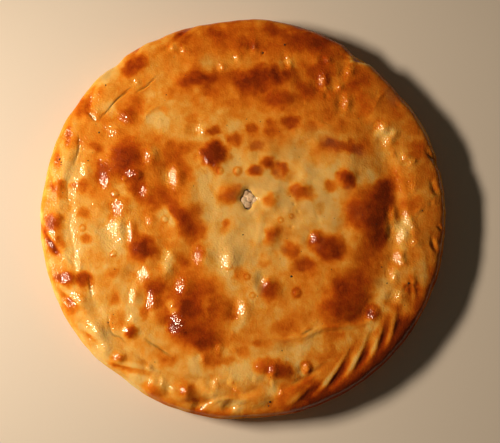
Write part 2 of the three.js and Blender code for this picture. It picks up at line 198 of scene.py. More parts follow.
# Small slopes that face the lamp and shine: steepness
SLOPES = [
    (-141, -14, 3, 5, 0.25), (-94, -11, 7, 14, 0.15), (-84, -9, 3, 7, 0.25), (-74, -39, 9, 5.5, 0.33),
    (-82.5, -57, 3, 5.5, 0.33), (-69, -59, 4.5, 7, 0.36), (-84, -73, 4, 3, 0.25),
    (-123, -59, 7, 5, 0.28, -20), (-130, -43, 4, 3, 0.28), (-111, -82, 7, 6, 0.30, -40),
    (-105, -95, 5, 4, 0.25, -40), (-123, -31, 2.5, 6, 0.28, 10), (-93, -102, 4, 3, 0.30),
    (-71, -109, 2.6, 4, 0.32), (-68, -121, 2.2, 2.6, 0.30), (-61, -119, 2.4, 3, 0.32),
    (-54, -126, 2.4, 2.6, 0.32), (-44, -127, 3.2, 4, 0.34), (-31, -103, 3, 3, 0.28),
    (-19, -95, 2.6, 4, 0.32), (-22, -122, 3.2, 4, 0.34), (-24, -132, 3.2, 4, 0.34, 20),
    (-10, -120, 2, 3, 0.30, -30), (-6, -126, 2, 2.4, 0.28), (8, -118, 2, 2.4, 0.28),
    (20, -113.5, 3, 6, 0.42, -20), (21, -121, 2, 2.4, 0.30), (46, -110.5, 3, 4, 0.42),
    (27, -127.5, 2, 2.4, 0.30), (94, -69, 4.5, 5, 0.34), (114, -57, 4.5, 5, 0.34),
    (107, 60, 4, 4, 0.42, 30), (111, 64, 3, 3, 0.36), (119, 47, 4, 2.6, 0.38, -30),
    (124, 43, 3.6, 2.4, 0.38, 20), (110.5, 4, 3, 6, 0.42), (112, -8, 3, 7, 0.42, -12),
    (117, -11, 4.5, 6, 0.40), (122, 0, 3.4, 6, 0.40, 25), (125, -9, 3.2, 5, 0.36),
    (125, -17, 4.5, 3, 0.34), (114.5, -27, 3.6, 3, 0.42, 25), (117, -31, 3, 3, 0.36),
    (125, 25, 3, 4, 0.24, 20), (111, -42, 2.6, 5, 0.36, 15), (102, 69, 4.5, 4, 0.40),
    (75, 87, 3.6, 6, 0.48), (58, 103, 4, 7, 0.36), (61, 119, 3.2, 2.4, 0.42, -20),
    (77, 110, 3.2, 5, 0.44, -40), (70, 98, 3, 2.4, 0.42), (-17, 113.5, 3, 2.6, 0.40),
    (33, 117, 2.6, 6, 0.40, 10), (-5, 120, 2.4, 3, 0.38), (7, 128, 2.4, 4, 0.38),
    (-54, 128, 2.4, 2.4, 0.36), (-80, 102, 2.4, 2.4, 0.34), (-110, 78, 3, 4, 0.25), (-89, 76, 6, 4, 0.20),
    (-45, 126, 2.4, 2.4, 0.36), (-71, 47, 5, 6, 0.33), (-103, 29, 5, 5, 0.33), (-118, 36, 3, 4, 0.28),
    (-84, 34, 6, 3, 0.28), (-74, 22, 4, 5, 0.28), (-93, 10, 6, 5, 0.25), (-97, 66, 5, 5, 0.16),
    (-85, -5, 3, 7, 0.25), (-98, -4, 7, 5, 0.22), (-71, -1, 4, 5, 0.25), (-52, 31.5, 5, 8, 0.40, 15),
    (-32, 67, 5, 4, 0.25), (-27, 43, 1.8, 2, 0.30), (-21, 42, 1.8, 2, 0.30), (-13, -30, 6, 9, 0.32),
    (-2, -67, 5, 7, 0.35), (-56, -26, 4, 4, 0.30), (-34, -26, 6, 7, 0.30), (-50, -78, 7, 7, 0.28),
    (-47, -48, 6, 6, 0.28), (52, -13, 4.5, 4, 0.40), (16, -46, 4, 4, 0.30), (-60, -37, 6, 5, 0.28),
]
SLOPE_GAIN = 1.3
SLOPE_SETTLING = 3.0
SLOPE_REACH = 2.6
SPARKLE_LEAST = 0.6
SPARKLE_MOST = 1.0
SPARKLE_MOST_RIGHT = 1.3
SHINING_CORE = 0.7
SHINING_EDGE = 1.6

# Pits: x, y, radius, depth
PITS = [
    (15, 124, 1.6, 1.2), (38, 12, 1.4, 0.8), (41, 6.5, 1.3, 0.7), (36, -5, 1.5, 0.9), (36, -42, 1.2, 0.7),
    (62, 92, 2.2, 0.7), (102, -32, 1.0, 0.5), (128, -49, 1.8, 1.0),
]

# Creases: points, half width, depth, height of the lip on the left of the line, share of painted shade in
# the crease
CREASES = [
    ([(-122.5, 64.6), (-122.2, 55.7), (-124, 46.8), (-125.5, 40)], 1.1, 0.9, 0.1, 0.8),
    ([(-127, 36), (-130, 27.5), (-130.3, 15), (-129, 6)], 1.0, 0.4, 0.0, 0.35),
    ([(-121, 15), (-126.2, 6), (-128.5, -3.7),
      (-127, -16.3), (-124, -28), (-121.8, -37)], 1.4, 0.35, 0.0, 0.1),
    ([(-142, -22), (-136, -24), (-130, -27.5), (-125.5, -33.4), (-123.3, -39.4)], 2.2, 0.45, 0.0, 0.0),
    ([(-140, 13), (-134, 3), (-130.5, -5)], 2.2, 0.45, 0.0, 0.0),
    ([(-114.4, -40), (-113.6, -50), (-112, -60)], 1.1, 0.7, 0.1, 0.6),
    ([(-100.3, -69), (-99.5, -78), (-96.5, -84.7), (-90.6, -87.6), (-86, -92.8)], 1.3, 0.8, 0.2, 0.5),
    ([(-74.3, -87), (-65.3, -93.6), (-58, -98), (-50.5, -103)], 1.4, 0.7, 0.2, 0.5),
    ([(-82, -98), (-71.3, -105.5), (-65.3, -110), (-56, -116)], 2.6, 0.6, 0.0, 0.1),
    ([(-60, -116), (-46.8, -117.5), (-28, -119), (-17, -117)], 4.0, 1.0, 0.0, 0.0),
    ([(-17, -117), (-11, -121), (-5.5, -126.5), (-1, -132)], 3.0, 1.2, 0.4, 0.0),
    ([(-2, -131), (5, -128), (13, -126), (24, -129)], 3.6, 0.9, 0.0, 0.0),
    ([(-34, -140), (-27, -136), (-18, -130)], 3.4, 1.0, 0.2, 0.0),
    ([(24, -130), (31, -125), (42.3, -119.6), (55.7, -110.6), (64.6, -104)], 3.0, 0.9, 0.0, 0.1),
    ([(-81, 99.5), (-88.5, 93.8), (-98.8, 83.2), (-107.5, 73)], 1.0, 1.1, 0.2, 1.0),
    ([(-62.6, 108), (-70.5, 101), (-80.5, 93)], 1.0, 0.8, 0.3, 0.7),
    ([(-116, 80.5), (-112.5, 76.5), (-109, 72.5)], 0.9, 0.8, 0.1, 0.8),
    ([(42.3, -85.4), (48.3, -82.4), (53.5, -80.2)], 1.3, 0.6, 0.3, 0.6),
    ([(118, -54.2), (124, -45.3)], 1.2, 0.7, 0.2, 0.5),
    ([(123, -41), (124.4, -48), (125, -57)], 1.8, 0.6, 0.3, 0.1),
    ([(111, 87), (119, 82)], 1.6, 0.5, 0.5, 0.0),
    ([(135.2, 54), (139.6, 47.5), (144, 41.6), (147.8, 35.6)], 2.2, 1.3, 0.8, 0.25),
    ([(139.6, 30.4), (141.8, 22.3), (147, 16.7)], 2.2, 1.3, 0.8, 0.25),
    ([(138.5, 14), (140.7, 9.7)], 1.6, 0.8, 0.5, 0.2),
    ([(144.5, -4), (148.5, -8)], 1.5, 1.0, 0.6, 0.3),
    ([(140.3, -11.9), (141.6, -20.4), (145.3, -24.1)], 2.2, 1.2, 0.8, 0.25),
    ([(136, 8), (127.7, 2)], 2.0, 0.4, -0.5, 0.0),
]
CREASE_DULL = 0.85
CREASE_NEAR = 2.2
LIP_OFFSET = 1.3
LIP_HALF_WIDTH = 1.6
LIP_OTHER_SIDE = 0.15

# The middle, where thin dough lies over lumps of filling: x, y, half length, half width, turn
LOOSE_MIDDLE = (34, 16, 66, 62, 0)
LOOSE_THIN = 0.3

# Ridges that stand up: points, half width, rise; less than 0 where a soft hollow runs
RIDGES = [
    ([(0, -86), (25, -88), (45, -86), (60, -80), (88, -77), (106, -67)], 3.4, 1.0),
    ([(12, 24), (20, 20), (28, 22)], 2.0, 0.4),
    ([(50, 78), (60, 70), (70, 66)], 3.0, 0.5),
    ([(-75, 72), (-68, 82), (-60, 85), (-54, 81)], 1.8, 0.5),
    ([(-66, 71), (-62, 76), (-56, 76)], 1.6, 0.4),
    ([(95, 80), (101, 90), (109, 101)], 2.0, 0.35),
    ([(-18, -26), (-11, -14), (-8, 0)], 6.0, 0.4),
    ([(8, -24), (13, -12), (13, 0), (18, 12)], 4.5, 0.45),
    ([(-20, -117), (-13, -119), (-8, -123), (-3, -129)], 2.6, 1.2),
    ([(-24, -136), (-14, -132.5), (-4, -133), (4, -136)], 2.6, 1.0),
    ([(-112, 78), (-121, 63), (-123, 41), (-129, 26),
      (-130, 7), (-128, -11), (-125, -35), (-121, -44)], 7.5, -0.85),
    ([(-118, -36), (-114, -45), (-113, -59), (-99, -83), (-86, -95), (-68, -106), (-50, -117)], 7.0, -0.9),
    ([(-127, 62), (-131, 42), (-138, 24), (-139, 7), (-137, -12), (-132, -35)], 6.0, 0.5),
    ([(-124, -52), (-118, -72), (-104, -94), (-88, -108), (-66, -121)], 6.0, 0.5),
]

# How brown the crust is over large zones: browning. A few paler zones at the top and the right lie on
# clusters of glints and are partly painted highlight
ZONES = [
    (-6, 4, 20, 32, 0.18), (58, 36, 26, 18, 0.16, -10), (62, 6, 14, 12, 0.14), (36, 2, 14, 16, 0.24),
    (20, -28, 18, 14, 0.24), (-18, -30, 10, 10, 0.18), (0, 72, 30, 12, 0.38), (42, 67, 34, 12, 0.46),
    (42, 53, 40, 7, 0.34), (-36, 68, 12, 9, 0.28), (-62, 84, 20, 12, 0.30, 25), (0, 100, 56, 14, 0.54),
    (-60, 25, 16, 26, 0.52), (-32, 27, 6, 16, 0.26, 25), (-56, -22, 12, 16, 0.32),
    (-92, -8, 16, 26, 0.20), (-100, 28, 12, 16, 0.45), (-90, -40, 18, 16, 0.32), (-84, -64, 10, 14, 0.20),
    (-70, -85, 14, 6, 0.24, -15), (-34, -60, 16, 26, 0.60), (-5, -60, 14, 14, 0.34),
    (20, -76, 24, 12, 0.35), (48, -46, 24, 16, 0.42), (0, -110, 30, 10, 0.20), (-46, -106, 16, 10, 0.30),
    (50, -92, 26, 8, 0.22, 15), (104, -52, 10, 14, 0.26), (94, 5, 16, 28, 0.66), (116, -12, 8, 22, 0.28),
    (100, 55, 16, 18, 0.30), (70, 80, 20, 14, 0.52), (80, 105, 30, 16, 0.52, -45),
    (10, 134, 60, 10, 0.66), (-5, 119, 34, 6, 0.34), (-60, 118, 36, 12, 0.37, 30),
    (-118, 72, 18, 26, 0.38, -40), (-126, 36, 9, 14, 0.20), (-136, 20, 8, 26, 0.30),
    (-132, -14, 8, 16, 0.16), (-130, -52, 12, 28, 0.26, 20), (-106, -88, 12, 16, 0.14, 40),
    (-84, -112, 30, 12, 0.28, -40), (-30, -128, 40, 10, 0.29), (20, -130, 34, 9, 0.36, 5),
    (88, -106, 36, 14, 0.56, 45), (132, -10, 10, 50, 0.42),
]
ZONE_DEFAULT = 0.40
ZONE_DEFAULT_WEIGHT = 0.02
ZONE_SHARPNESS = 0.9

# Browned patches: how dark, less than 0 where the crust stayed paler. Several of the paler ones lie on
# clusters of glints and are partly painted highlight
PATCHES = [
    (-88, 44, 14, 17, 0.73), (-80, 27, 8, 10, 0.55), (-103, 36, 8, 9, 0.55), (-110, 54, 7, 4, 0.35),
    (-51, 53, 13, 8, 0.42, 20), (-62, 16, 12, 12, 0.28), (-46, 2, 21, 8, 0.70, -63), (-33, -9, 7, 8, 0.4),
    (-74.5, -21, 11, 11, 0.85), (-32, -24, 6, 6, 0.3, 20), (-44, -32, 6, 7, 0.3),
    (-65, -52, 10, 12, 0.62), (-32, -60, 16, 18, 0.55, 10), (-41, -67, 12, 13, 0.62),
    (-33, -86, 16, 13, 0.80, -15), (-50, -79, 9, 7, 0.8, -20), (-15, -72, 11, 8, 0.32),
    (-22, -103, 9, 7, 0.42), (-12, -106, 8, 5, 0.3), (-2, -98, 9, 5, 0.3), (-55, -103, 9, 6, 0.32),
    (-73, -67, 5, 6, 0.5), (-20.5, 48, 12, 12, 0.92), (-6, 60, 7, 6, 0.5), (-10, 19, 11, 7, 0.55, 30),
    (-12, -1, 5, 5, 0.35), (-80.5, 114, 12, 6.5, 0.62, 40), (-44, 134, 8, 7, 0.4), (-22, 139, 9, 5, 0.3),
    (8, 132, 10, 6, 0.3), (22, 142, 8, 5, 0.3), (-34, 105, 17, 8, 0.66), (4, 104, 16, 10, 0.6),
    (20, 108, 17, 9, 0.82, 5), (48, 97, 12, 7, 0.45, -20), (27, 90, 13, 9, 0.6), (34.5, 73, 8, 6, 0.6),
    (6, 67, 6, 6, 0.5), (22, 68, 7, 7, 0.4), (10, 56, 6, 5, 0.5), (-21, 66, 5, 4, 0.45),
    (-37, 76, 6, 5, 0.25), (-26, 95, 6, 5, 0.3), (-85, 77, 11, 9, 0.4), (-79, 86, 7, 7, 0.3),
    (8, 37, 8.5, 5.5, 0.7, 20), (18, 44, 7.5, 5, 0.62), (28, 38, 7, 6, 0.62, -30),
    (48, 131, 24, 9, 0.55, -20), (62, 112, 8, 9, 0.6), (82, 100, 7, 6, 0.4), (63, 92, 7, 4, 0.3, 15),
    (52, 110, 8, 6, 0.4), (89, 111, 10, 8, 0.3, -40), (91, 83, 7, 7, 0.3), (66, 56, 9, 5, 0.55),
    (79, 54, 11, 5.5, 0.55), (77, 31, 8, 8, 0.85), (106, 22, 9, 9, 0.45, 30), (128.5, 52, 7, 9, 0.4),
    (88, 4, 16, 13, 0.6, -20), (101, 14, 11, 15, 0.6, -20), (99, -12, 8, 14, 0.42),
    (62.5, -20, 16, 11, 0.75, -15), (55, -13, 6, 6, 0.3), (35.5, -22, 8, 7, 0.6),
    (44.5, -33.5, 10, 8, 0.62), (22.6, -10.3, 7, 11, 0.52, -20), (19.5, 13.7, 6, 7, 0.35),
    (43, 20, 12, 7, 0.55, -10), (65.4, 25.5, 7, 6, 0.4), (19.5, -52, 8, 10, 0.65),
    (-2.4, -38.4, 6, 6, 0.25), (40, -54, 5, 5, 0.3), (15, -30, 6, 5, 0.25), (80, -56, 20, 21, 0.72),
    (70, -67, 18, 10, 0.45), (66, -84, 10, 12, 0.35), (93, -40, 12, 10, 0.38), (96, -68.6, 7, 5, 0.5),
    (110, -62, 7, 6, 0.35), (126, -49, 5, 11, 0.4, -15), (57, 8.5, 5, 5, 0.2), (124, 18, 8, 16, 0.2),
    (32.6, -79, 12, 7, 0.22), (16, -92, 9, 4, 0.2), (23, -110, 17, 9.5, 0.74, -12),
    (31, -113, 8, 5, 0.4, -25), (47.5, -108.7, 5, 5, 0.28), (119, -78, 8, 11, 0.35, -20),
    (53, -130, 14, 8, 0.35, 20), (70, -130, 14, 8, 0.3, 30), (-82, -83, 6.5, 6, 0.7),
    (-93, -104, 8, 6, 0.25), (-68, -126, 9, 6, 0.3), (-40, -129, 12, 8, 0.42), (-138, 24, 7, 7, 0.42),
    (-121.4, 25, 7, 6, 0.38), (-141, -2, 8, 10, 0.58), (-139.5, -19, 8, 6, 0.5), (-119.5, 4.3, 6, 5, 0.3),
    (-115.7, -13.7, 5, 5, 0.4), (-132, -44, 9, 7, 0.6), (-117.5, -44.5, 7, 7, 0.65),
    (-128, -63, 7, 7, 0.4), (-97.7, -38.3, 7, 5, 0.25), (-95, -59, 6, 6, 0.2), (-119, 83, 9, 7, 0.3, 40),
    (-95, 4, 5, 7, 0.25), (-137, 43, 5, 6, 0.25), (-54, 8, 10, 13, -0.55), (-56, 32, 6, 7, -0.4),
    (-62, 51, 15, 6, -0.35), (-97, -15, 8, 10, -0.3), (-55, -32, 7, 10, -0.35), (-50, -65, 7, 7, -1.0),
    (-30, -60, 8, 13, -0.6), (-37, -78, 6, 7, -0.4), (-13, -35, 8, 10, -0.25), (-8, -16, 8, 7, -0.15),
    (8, -57, 6, 9, -0.25), (25, -67, 7, 7, -0.25), (12, -10, 8, 8, -0.25), (32, 15, 8, 10, -0.25),
    (15, 23, 14, 5, -0.15), (-28, 24, 5, 16, -0.3, 20), (-5, 70, 9, 7, -0.35), (-17, 57, 6, 6, -0.4),
    (-5, 97, 7, 9, -0.3), (-28, 92, 7, 12, -0.3), (-27, 112, 7, 8, -0.25), (32, 114, 8, 6, -0.45),
    (52, 110, 8, 5, -0.25), (63, 95, 8, 6, -0.3), (103, 64, 8, 7, -0.3), (92, 30, 9, 10, -0.5),
    (82, -14, 11, 11, -0.8), (75, -31, 10, 9, -0.45), (53, -24, 7, 6, -0.35), (95, -77, 8, 8, -0.5),
    (120, -5, 8, 8, -0.35), (115, -28, 6, 6, -0.25), (126, 22, 7, 7, -0.25), (132, -40, 6, 11, -0.35),
    (78, -98, 10, 12, -0.25), (42, -110, 7, 6, -0.3), (-80, -120, 16, 11, -0.3, -40),
    (-106, -98, 11, 8, -0.25, -40), (-35, -108, 6, 9, -0.3), (-5, -140, 9, 6, -0.35),
    (22, -128, 8, 6, -0.25), (-102, 108, 18, 8, -0.45, 45), (-65, 134, 18, 7, -0.35, 25),
    (20, 146, 26, 6, -0.5), (88, 119, 16, 7, -0.4, -45), (-60, 72, 7, 10, -0.2), (-65, 96, 9, 9, -0.2),
    (10, 134, 30, 5, -0.25), (66, -108, 7, 7, -0.2), (60, 62, 30, 6, -0.15), (-120, -30, 9, 16, -0.1),
    (-37, 3, 9, 11, 0.4), (-45, 38, 7, 13, 0.3), (-25, 51, 6, 6, 0.3), (-83, -7, 6, 7, 0.2),
    (-76, -27, 9, 8, 0.25), (-120, -57, 7, 6, 0.2), (-11, -65, 7, 11, 0.3), (-8, -88, 11, 8, 0.22),
    (45, -70, 15, 6, 0.18), (72, -75, 14, 6, 0.25), (35, -87, 15, 7, 0.2), (53, -101, 10, 8, 0.22),
    (48, -123, 12, 10, 0.35), (35, -136, 9, 7, 0.25), (-60, -135, 14, 9, 0.25, -25),
    (-70, -95, 24, 7, 0.12, -20), (102, -10, 5, 14, 0.4), (112, 28, 8, 8, 0.25), (132, 8, 9, 8, 0.2),
    (90, 62, 8, 11, 0.2), (66, 53, 14, 6, 0.15), (118, 73, 16, 7, 0.15, -30), (50, 89, 6, 6, 0.2),
    (63, 79, 8, 5, 0.15), (18, 83, 14, 6, 0.12), (30, 103, 8, 5, 0.3), (-38, 120, 7, 11, 0.15),
    (32, 33, 8, 5, 0.2), (-95, 64, 14, 14, 0.12), (-127, 60, 6, 11, 0.2), (-141, -8, 7, 10, 0.25),
    (-135, -40, 7, 9, 0.2), (100, -115, 16, 8, 0.2, 45), (-102, 30, 8, 8, 0.2),
    (50, -125, 14, 10, 0.2, 10), (103, -10, 5, 17, 0.4), (-58, 4, 10, 12, -0.2), (-8, -25, 8, 9, -0.2),
    (-28, -63, 6, 9, -0.4), (-3, -75, 7, 6, -0.3), (32, 93, 10, 10, -0.2), (0, 100, 10, 6, -0.15),
    (-60, 108, 12, 5, -0.15, 20), (90, 53, 10, 10, 0.2), (113, 53, 6, 6, 0.2), (70, -35, 9, 6, 0.25),
    (75, -2, 7, 6, 0.2), (15, -92, 6, 9, 0.2), (-19, 38, 6, 9, 0.3), (-38, 56, 9, 5, 0.25),
    (-80, 74, 8, 14, 0.15), (-107, 97, 6, 8, 0.25), (-85, -12, 6, 14, 0.2), (-48, -83, 8, 7, 0.25),
    (-90, -107, 14, 6, 0.2, -40), (-10, -4, 8, 8, 0.15), (112, -28, 8, 10, 0.25), (-90, 10, 10, 8, 0.25),
    (135, 34, 8, 10, 0.15), (119, 8, 8, 8, 0.15), (60, 45, 12, 10, 0.12), (35, -12, 7, 6, 0.15),
    (-115, -82, 5, 6, 0.2), (-30, -144, 16, 5, 0.3, -8), (32, -125, 9, 8, 0.35),
    (55, -138, 20, 6, 0.2, 15), (105, -100, 16, 6, 0.2, 48), (-8, -47, 6, 9, -0.25),
    (-12, -22, 8, 10, -0.2), (-7, 45, 6, 8, -0.25), (-35, -78, 7, 8, -0.3), (-30, -65, 7, 8, -0.25),
    (94, -88, 8, 9, -0.3), (122, -68, 6, 7, -0.35), (-83, -68, 5, 7, -0.3), (-128, 31, 6, 6, -0.35),
    (-100, 82, 7, 7, -0.3), (103, -5, 6, 9, 0.35), (110, 25, 6, 8, 0.25), (-25, 52, 5, 6, 0.35),
    (-80, -10, 5, 9, 0.25), (-77, 18, 6, 7, 0.25), (-66, -25, 8, 6, 0.25), (-65, -63, 8, 6, 0.25),
    (65, -97, 6, 7, 0.25), (-80, 59, 7, 4, 0.25), (-56, 96, 6, 6, 0.25), (-94, -75, 6, 8, 0.2),
    (80, 119, 5, 3, -0.5, -40), (-64, 77, 8, 7, -0.3), (-135, 20, 6, 5, 0.15), (-135, -45, 6, 6, 0.15),
    (130, 46, 8, 6, -0.15),
]
PATCH_CORE = 0.3
PATCH_EDGE = 1.25
CONTRAST = 1.2
PALE_CONTRAST = 1.45
CONTRAST_MIDDLE = 0.46

# Layers of grain: strength, size and seed
RAGGED_X = [(3.0, 14, 1), (2.0, 6, 2), (1.5, 2.8, 18)]
RAGGED_Y = [(3.0, 14, 3), (2.0, 6, 4), (1.5, 2.8, 19)]
MOTTLING = [(0.12, 11, 12), (0.09, 5.5, 13), (0.05, 2.6, 20)]
THIN_RAGGED = [(0.35, 9, 5), (0.25, 4, 6)]
LOOSE_RAGGED = [(1.0, 13, 22), (0.6, 5, 23)]
SIDE_MOTTLING = [(0.10, 16, 14), (0.08, 6, 15)]

# Thin dough, where the filling darkens it: how strong
THIN_PLACES = [
    (60, 62, 16, 6, 0.3, -15), (88, 44, 7, 10, 0.5, 20), (57, 10, 10, 8, 0.3), (40, 8, 9, 8, 0.35),
    (12, -48, 3.5, 11, 0.7, 5), (-3, -24, 8, 10, 0.45), (-24, 118, 7, 5, 0.3), (34, 52, 14, 9, 0.4),
    (4, 26, 12, 6, 0.35), (104, -47, 8, 4, 0.4), (30, -94, 10, 4, 0.35, 10), (-27, 8, 6, 12, 0.35),
    (-100, 110, 8, 3, 0.6, 45), (66, -3, 8, 6, 0.35), (110, 92, 4, 9, 0.35, 30),
]

# Specks burnt black: x, y, half size
SPECKS = [
    (-136, 45, 0.9), (-135, 43, 0.7), (-135, 41, 0.6), (-115, 44, 0.6), (-107, 65, 0.7), (-102, 100, 0.7),
    (36, -42, 1.1), (103, -35, 0.6), (107, -47, 0.6), (133, 7, 0.6), (123, -47, 0.9), (-100, -76, 0.7),
    (-31, -139, 0.6), (20, -135, 0.8), (19, -138, 0.6), (31, 130, 0.9), (0, -11, 0.6), (29, -97, 0.5),
    (15, 124, 0.9), (99, -3, 0.5), (-57, 93, 0.5),
]

# Specks and tiny bubbles at random places: how many, and their least and most size
RANDOM_SEED = 11
LOOSE_SPECKS = 60
LOOSE_SPECK_SIZES = (0.2, 0.4)
TINY_BUBBLES = 420
TINY_RADII = (0.9, 2.4)
TINY_RISES = (0.08, 0.34)

# Browning of the side, the underside and the well, and the painted shade that darkens the well
SIDE_BROWN = 0.45
BASE_BROWN = 0.62
WELL_BROWN = 0.12
WELL_PAINTED_SHADE = 0.3

# Mesh sizes
TOP_STEP = 1.0
SIDE_STEP = 1.5
BASE_STEP = 5.0
WELL_POINTS = 36
FEWEST_POINTS = 12

# Meat: height of its top between the flakes, and its flakes in metres
MEAT_TOP = (FILLING_LOW.z + 0.95 * (FILLING_HIGH.z - FILLING_LOW.z)) / METRES
MEAT_CLEARANCE = 0.2
FLAKE_SIZE = 0.0040
FLAKE_GAP = 0.0033

# Lamps in a row, in metres, and the light from all round
LAMP_POWER = 47.0
LAMP_COLOUR = (1.0, 0.777, 0.548)
LAMP_SOFTNESS = 0.062
LAMP_CONE = math.radians(62)
LAMP_PLACES = [(-0.782, -0.01, 0.614), (-0.782, 0.09, 0.614), (-0.782, 0.19, 0.614)]
LAMP_TARGET = (0.02, -0.03, 0)
ROOM_COLOUR = (1.0, 0.78, 0.50)
ROOM_LIGHT = 0.042
FLOOR_HALF = 4.0


def hump(distance):
    """A smooth hump: 1 in the middle and 0 from one half width out."""
    t = np.minimum(np.abs(distance), 1)
    return (1 - t * t) ** 2


def fade(value, start, end):
    """A smooth change from 0 at start to 1 at end."""
    t = np.clip((value - start) / (end - start), 0, 1)
    return t * t * (3 - 2 * t)


def turn_between(a, b):
    """Signed difference of angles in degrees, from -180 to 180."""
    return (a - b + 180) % 360 - 180


def hump_round(degrees, middle, half_turn):
    """A smooth hump round the pie, about an angle."""
    return hump(turn_between(degrees, middle) / half_turn)


def round_hump(x, y, at_x, at_y, radius):
    """A smooth round hump about a place."""
    return hump(np.hypot(x - at_x, y - at_y) / radius)


def ovals(rows):
    """Place and value of each oval in a list."""
    for at_x, at_y, half_length, half_width, value, *turn in rows:
        yield (at_x, at_y, half_length, half_width, turn[0] if turn else 0), value


def oval(x, y, place):
    """Distance from an oval's middle as a share of its size: 1 on its edge."""
    at_x, at_y, half_length, half_width, turn = place
    c, s = math.cos(math.radians(turn)), math.sin(math.radians(turn))
    along = ((x - at_x) * c + (y - at_y) * s) / half_length
    across = ((y - at_y) * c - (x - at_x) * s) / half_width
    return np.hypot(along, across)


def grain(points, size, seed):
    """Smooth random values, from about -1 to 1, whose lumps have a size in millimetres."""
    start = Vector((31.7 * seed, 17.3 * seed, 7.9 * seed))
    return np.array([noise.noise(Vector(p) / size + start) for p in points])


def grains(points, layers):
    """Layers of grain, added up."""
    return sum(strength * grain(points, size, seed) for strength, size, seed in layers)


def smooth_line(points, steps):
    """A smooth curve through points, with a number of steps between each two."""
    points = np.array(points, float)
    ends = np.vstack([points[:1], points, points[-1:]])
    t = np.linspace(0, 1, steps, endpoint=False)[:, None]
    spans = []
    for before, start, end, after in zip(ends, ends[1:], ends[2:], ends[3:]):
        leave, arrive = (end - before) / 2, (after - start) / 2
        cubic = 2 * start - 2 * end + leave + arrive
        square = -3 * start + 3 * end - 2 * leave - arrive
        spans.append(cubic * t**3 + square * t**2 + leave * t + start)
    return np.vstack(spans + [points[-1:]])


def beside_line(x, y, points):
    """Distance to a line, side of it (1 left, -1 right) and share of its length at the nearest point."""
    line = smooth_line(points, 5)
    spans = np.diff(line, axis=0)
    lengths = np.linalg.norm(spans, axis=1)
    travelled = np.concatenate([[0], np.cumsum(lengths)])
    distance = np.full(x.shape, 1e9)
    side = np.ones(x.shape)
    share = np.zeros(x.shape)
    for start, span, length, before in zip(line, spans, lengths, travelled):
        dx, dy = x - start[0], y - start[1]
        t = np.clip((dx * span[0] + dy * span[1]) / length**2, 0, 1)
        off = np.hypot(dx - t * span[0], dy - t * span[1])
        nearer = off < distance
        distance = np.where(nearer, off, distance)
        side = np.where(nearer, np.sign(span[0] * dy - span[1] * dx), side)
        share = np.where(nearer, (before + t * length) / travelled[-1], share)
    return distance, side, share


def vent_radius(angle):
    """Radius of the vent's torn, four-cornered mouth."""
    corners = VENT_CORNER * np.cos(VENT_SIDES * angle)
    ragged = VENT_RAGGED * np.sin(3 * angle + 1)
    return VENT_RADIUS + corners - VENT_STRETCH * np.cos(2 * angle) + ragged


def dent_depth(degrees):
    """How far the outline is dented in."""
    return sum(depth * hump_round(degrees, at, half_width) for at, half_width, depth in DENTS)


def fold_shift(radius, degrees):
    """How far the surroundings of the fold are moved in."""
    turn = hump_round(degrees, FOLD_SHIFT_MIDDLE, FOLD_SHIFT_HALF_TURN)
    return FOLD_SHIFT * turn * hump((radius - FOLD_RADIUS) / FOLD_SHIFT_REACH)


def fold_fill(radius, degrees):
    """How far the fold is filled up: most on the left, where rim and lid are nearly level."""
    left = hump_round(degrees, FOLD_FILL_MIDDLE, FOLD_FILL_HALF_TURN)
    fill = FOLD_FILL + (FOLD_FILL_LEFT - FOLD_FILL) * left
    return fill * hump((radius - FOLD_RADIUS) / FOLD_FILL_REACH)


def valley_depth(radius, degrees):
    """Depth of the valley beside the rim at the right: a long slope from the lid and a short wall."""
    turn = hump_round(degrees, VALLEY_MIDDLE, VALLEY_HALF_TURN)
    across = radius - VALLEY_RADIUS
    wall = 1 - fade(across, 0, VALLEY_WALL)
    return VALLEY_DEPTH * turn * np.where(across < 0, hump(across / VALLEY_SLOPE), wall)


def as_seen(points):
    """Where the camera sees points of the lists' millimetres, on the plane through its aim."""
    away = points + np.array([SHIFT[0], SHIFT[1], 0]) - AIM
    depth = CAMERA_DISTANCE + away[:, 1] * math.sin(TILT) - away[:, 2] * math.cos(TILT)
    up = away[:, 1] * math.cos(TILT) + away[:, 2] * math.sin(TILT)
    right = away[:, 0]
    return (
        AIM_IN_PICTURE[0] + right * CAMERA_DISTANCE / depth,
        AIM_IN_PICTURE[1] + up * CAMERA_DISTANCE / depth,
    )


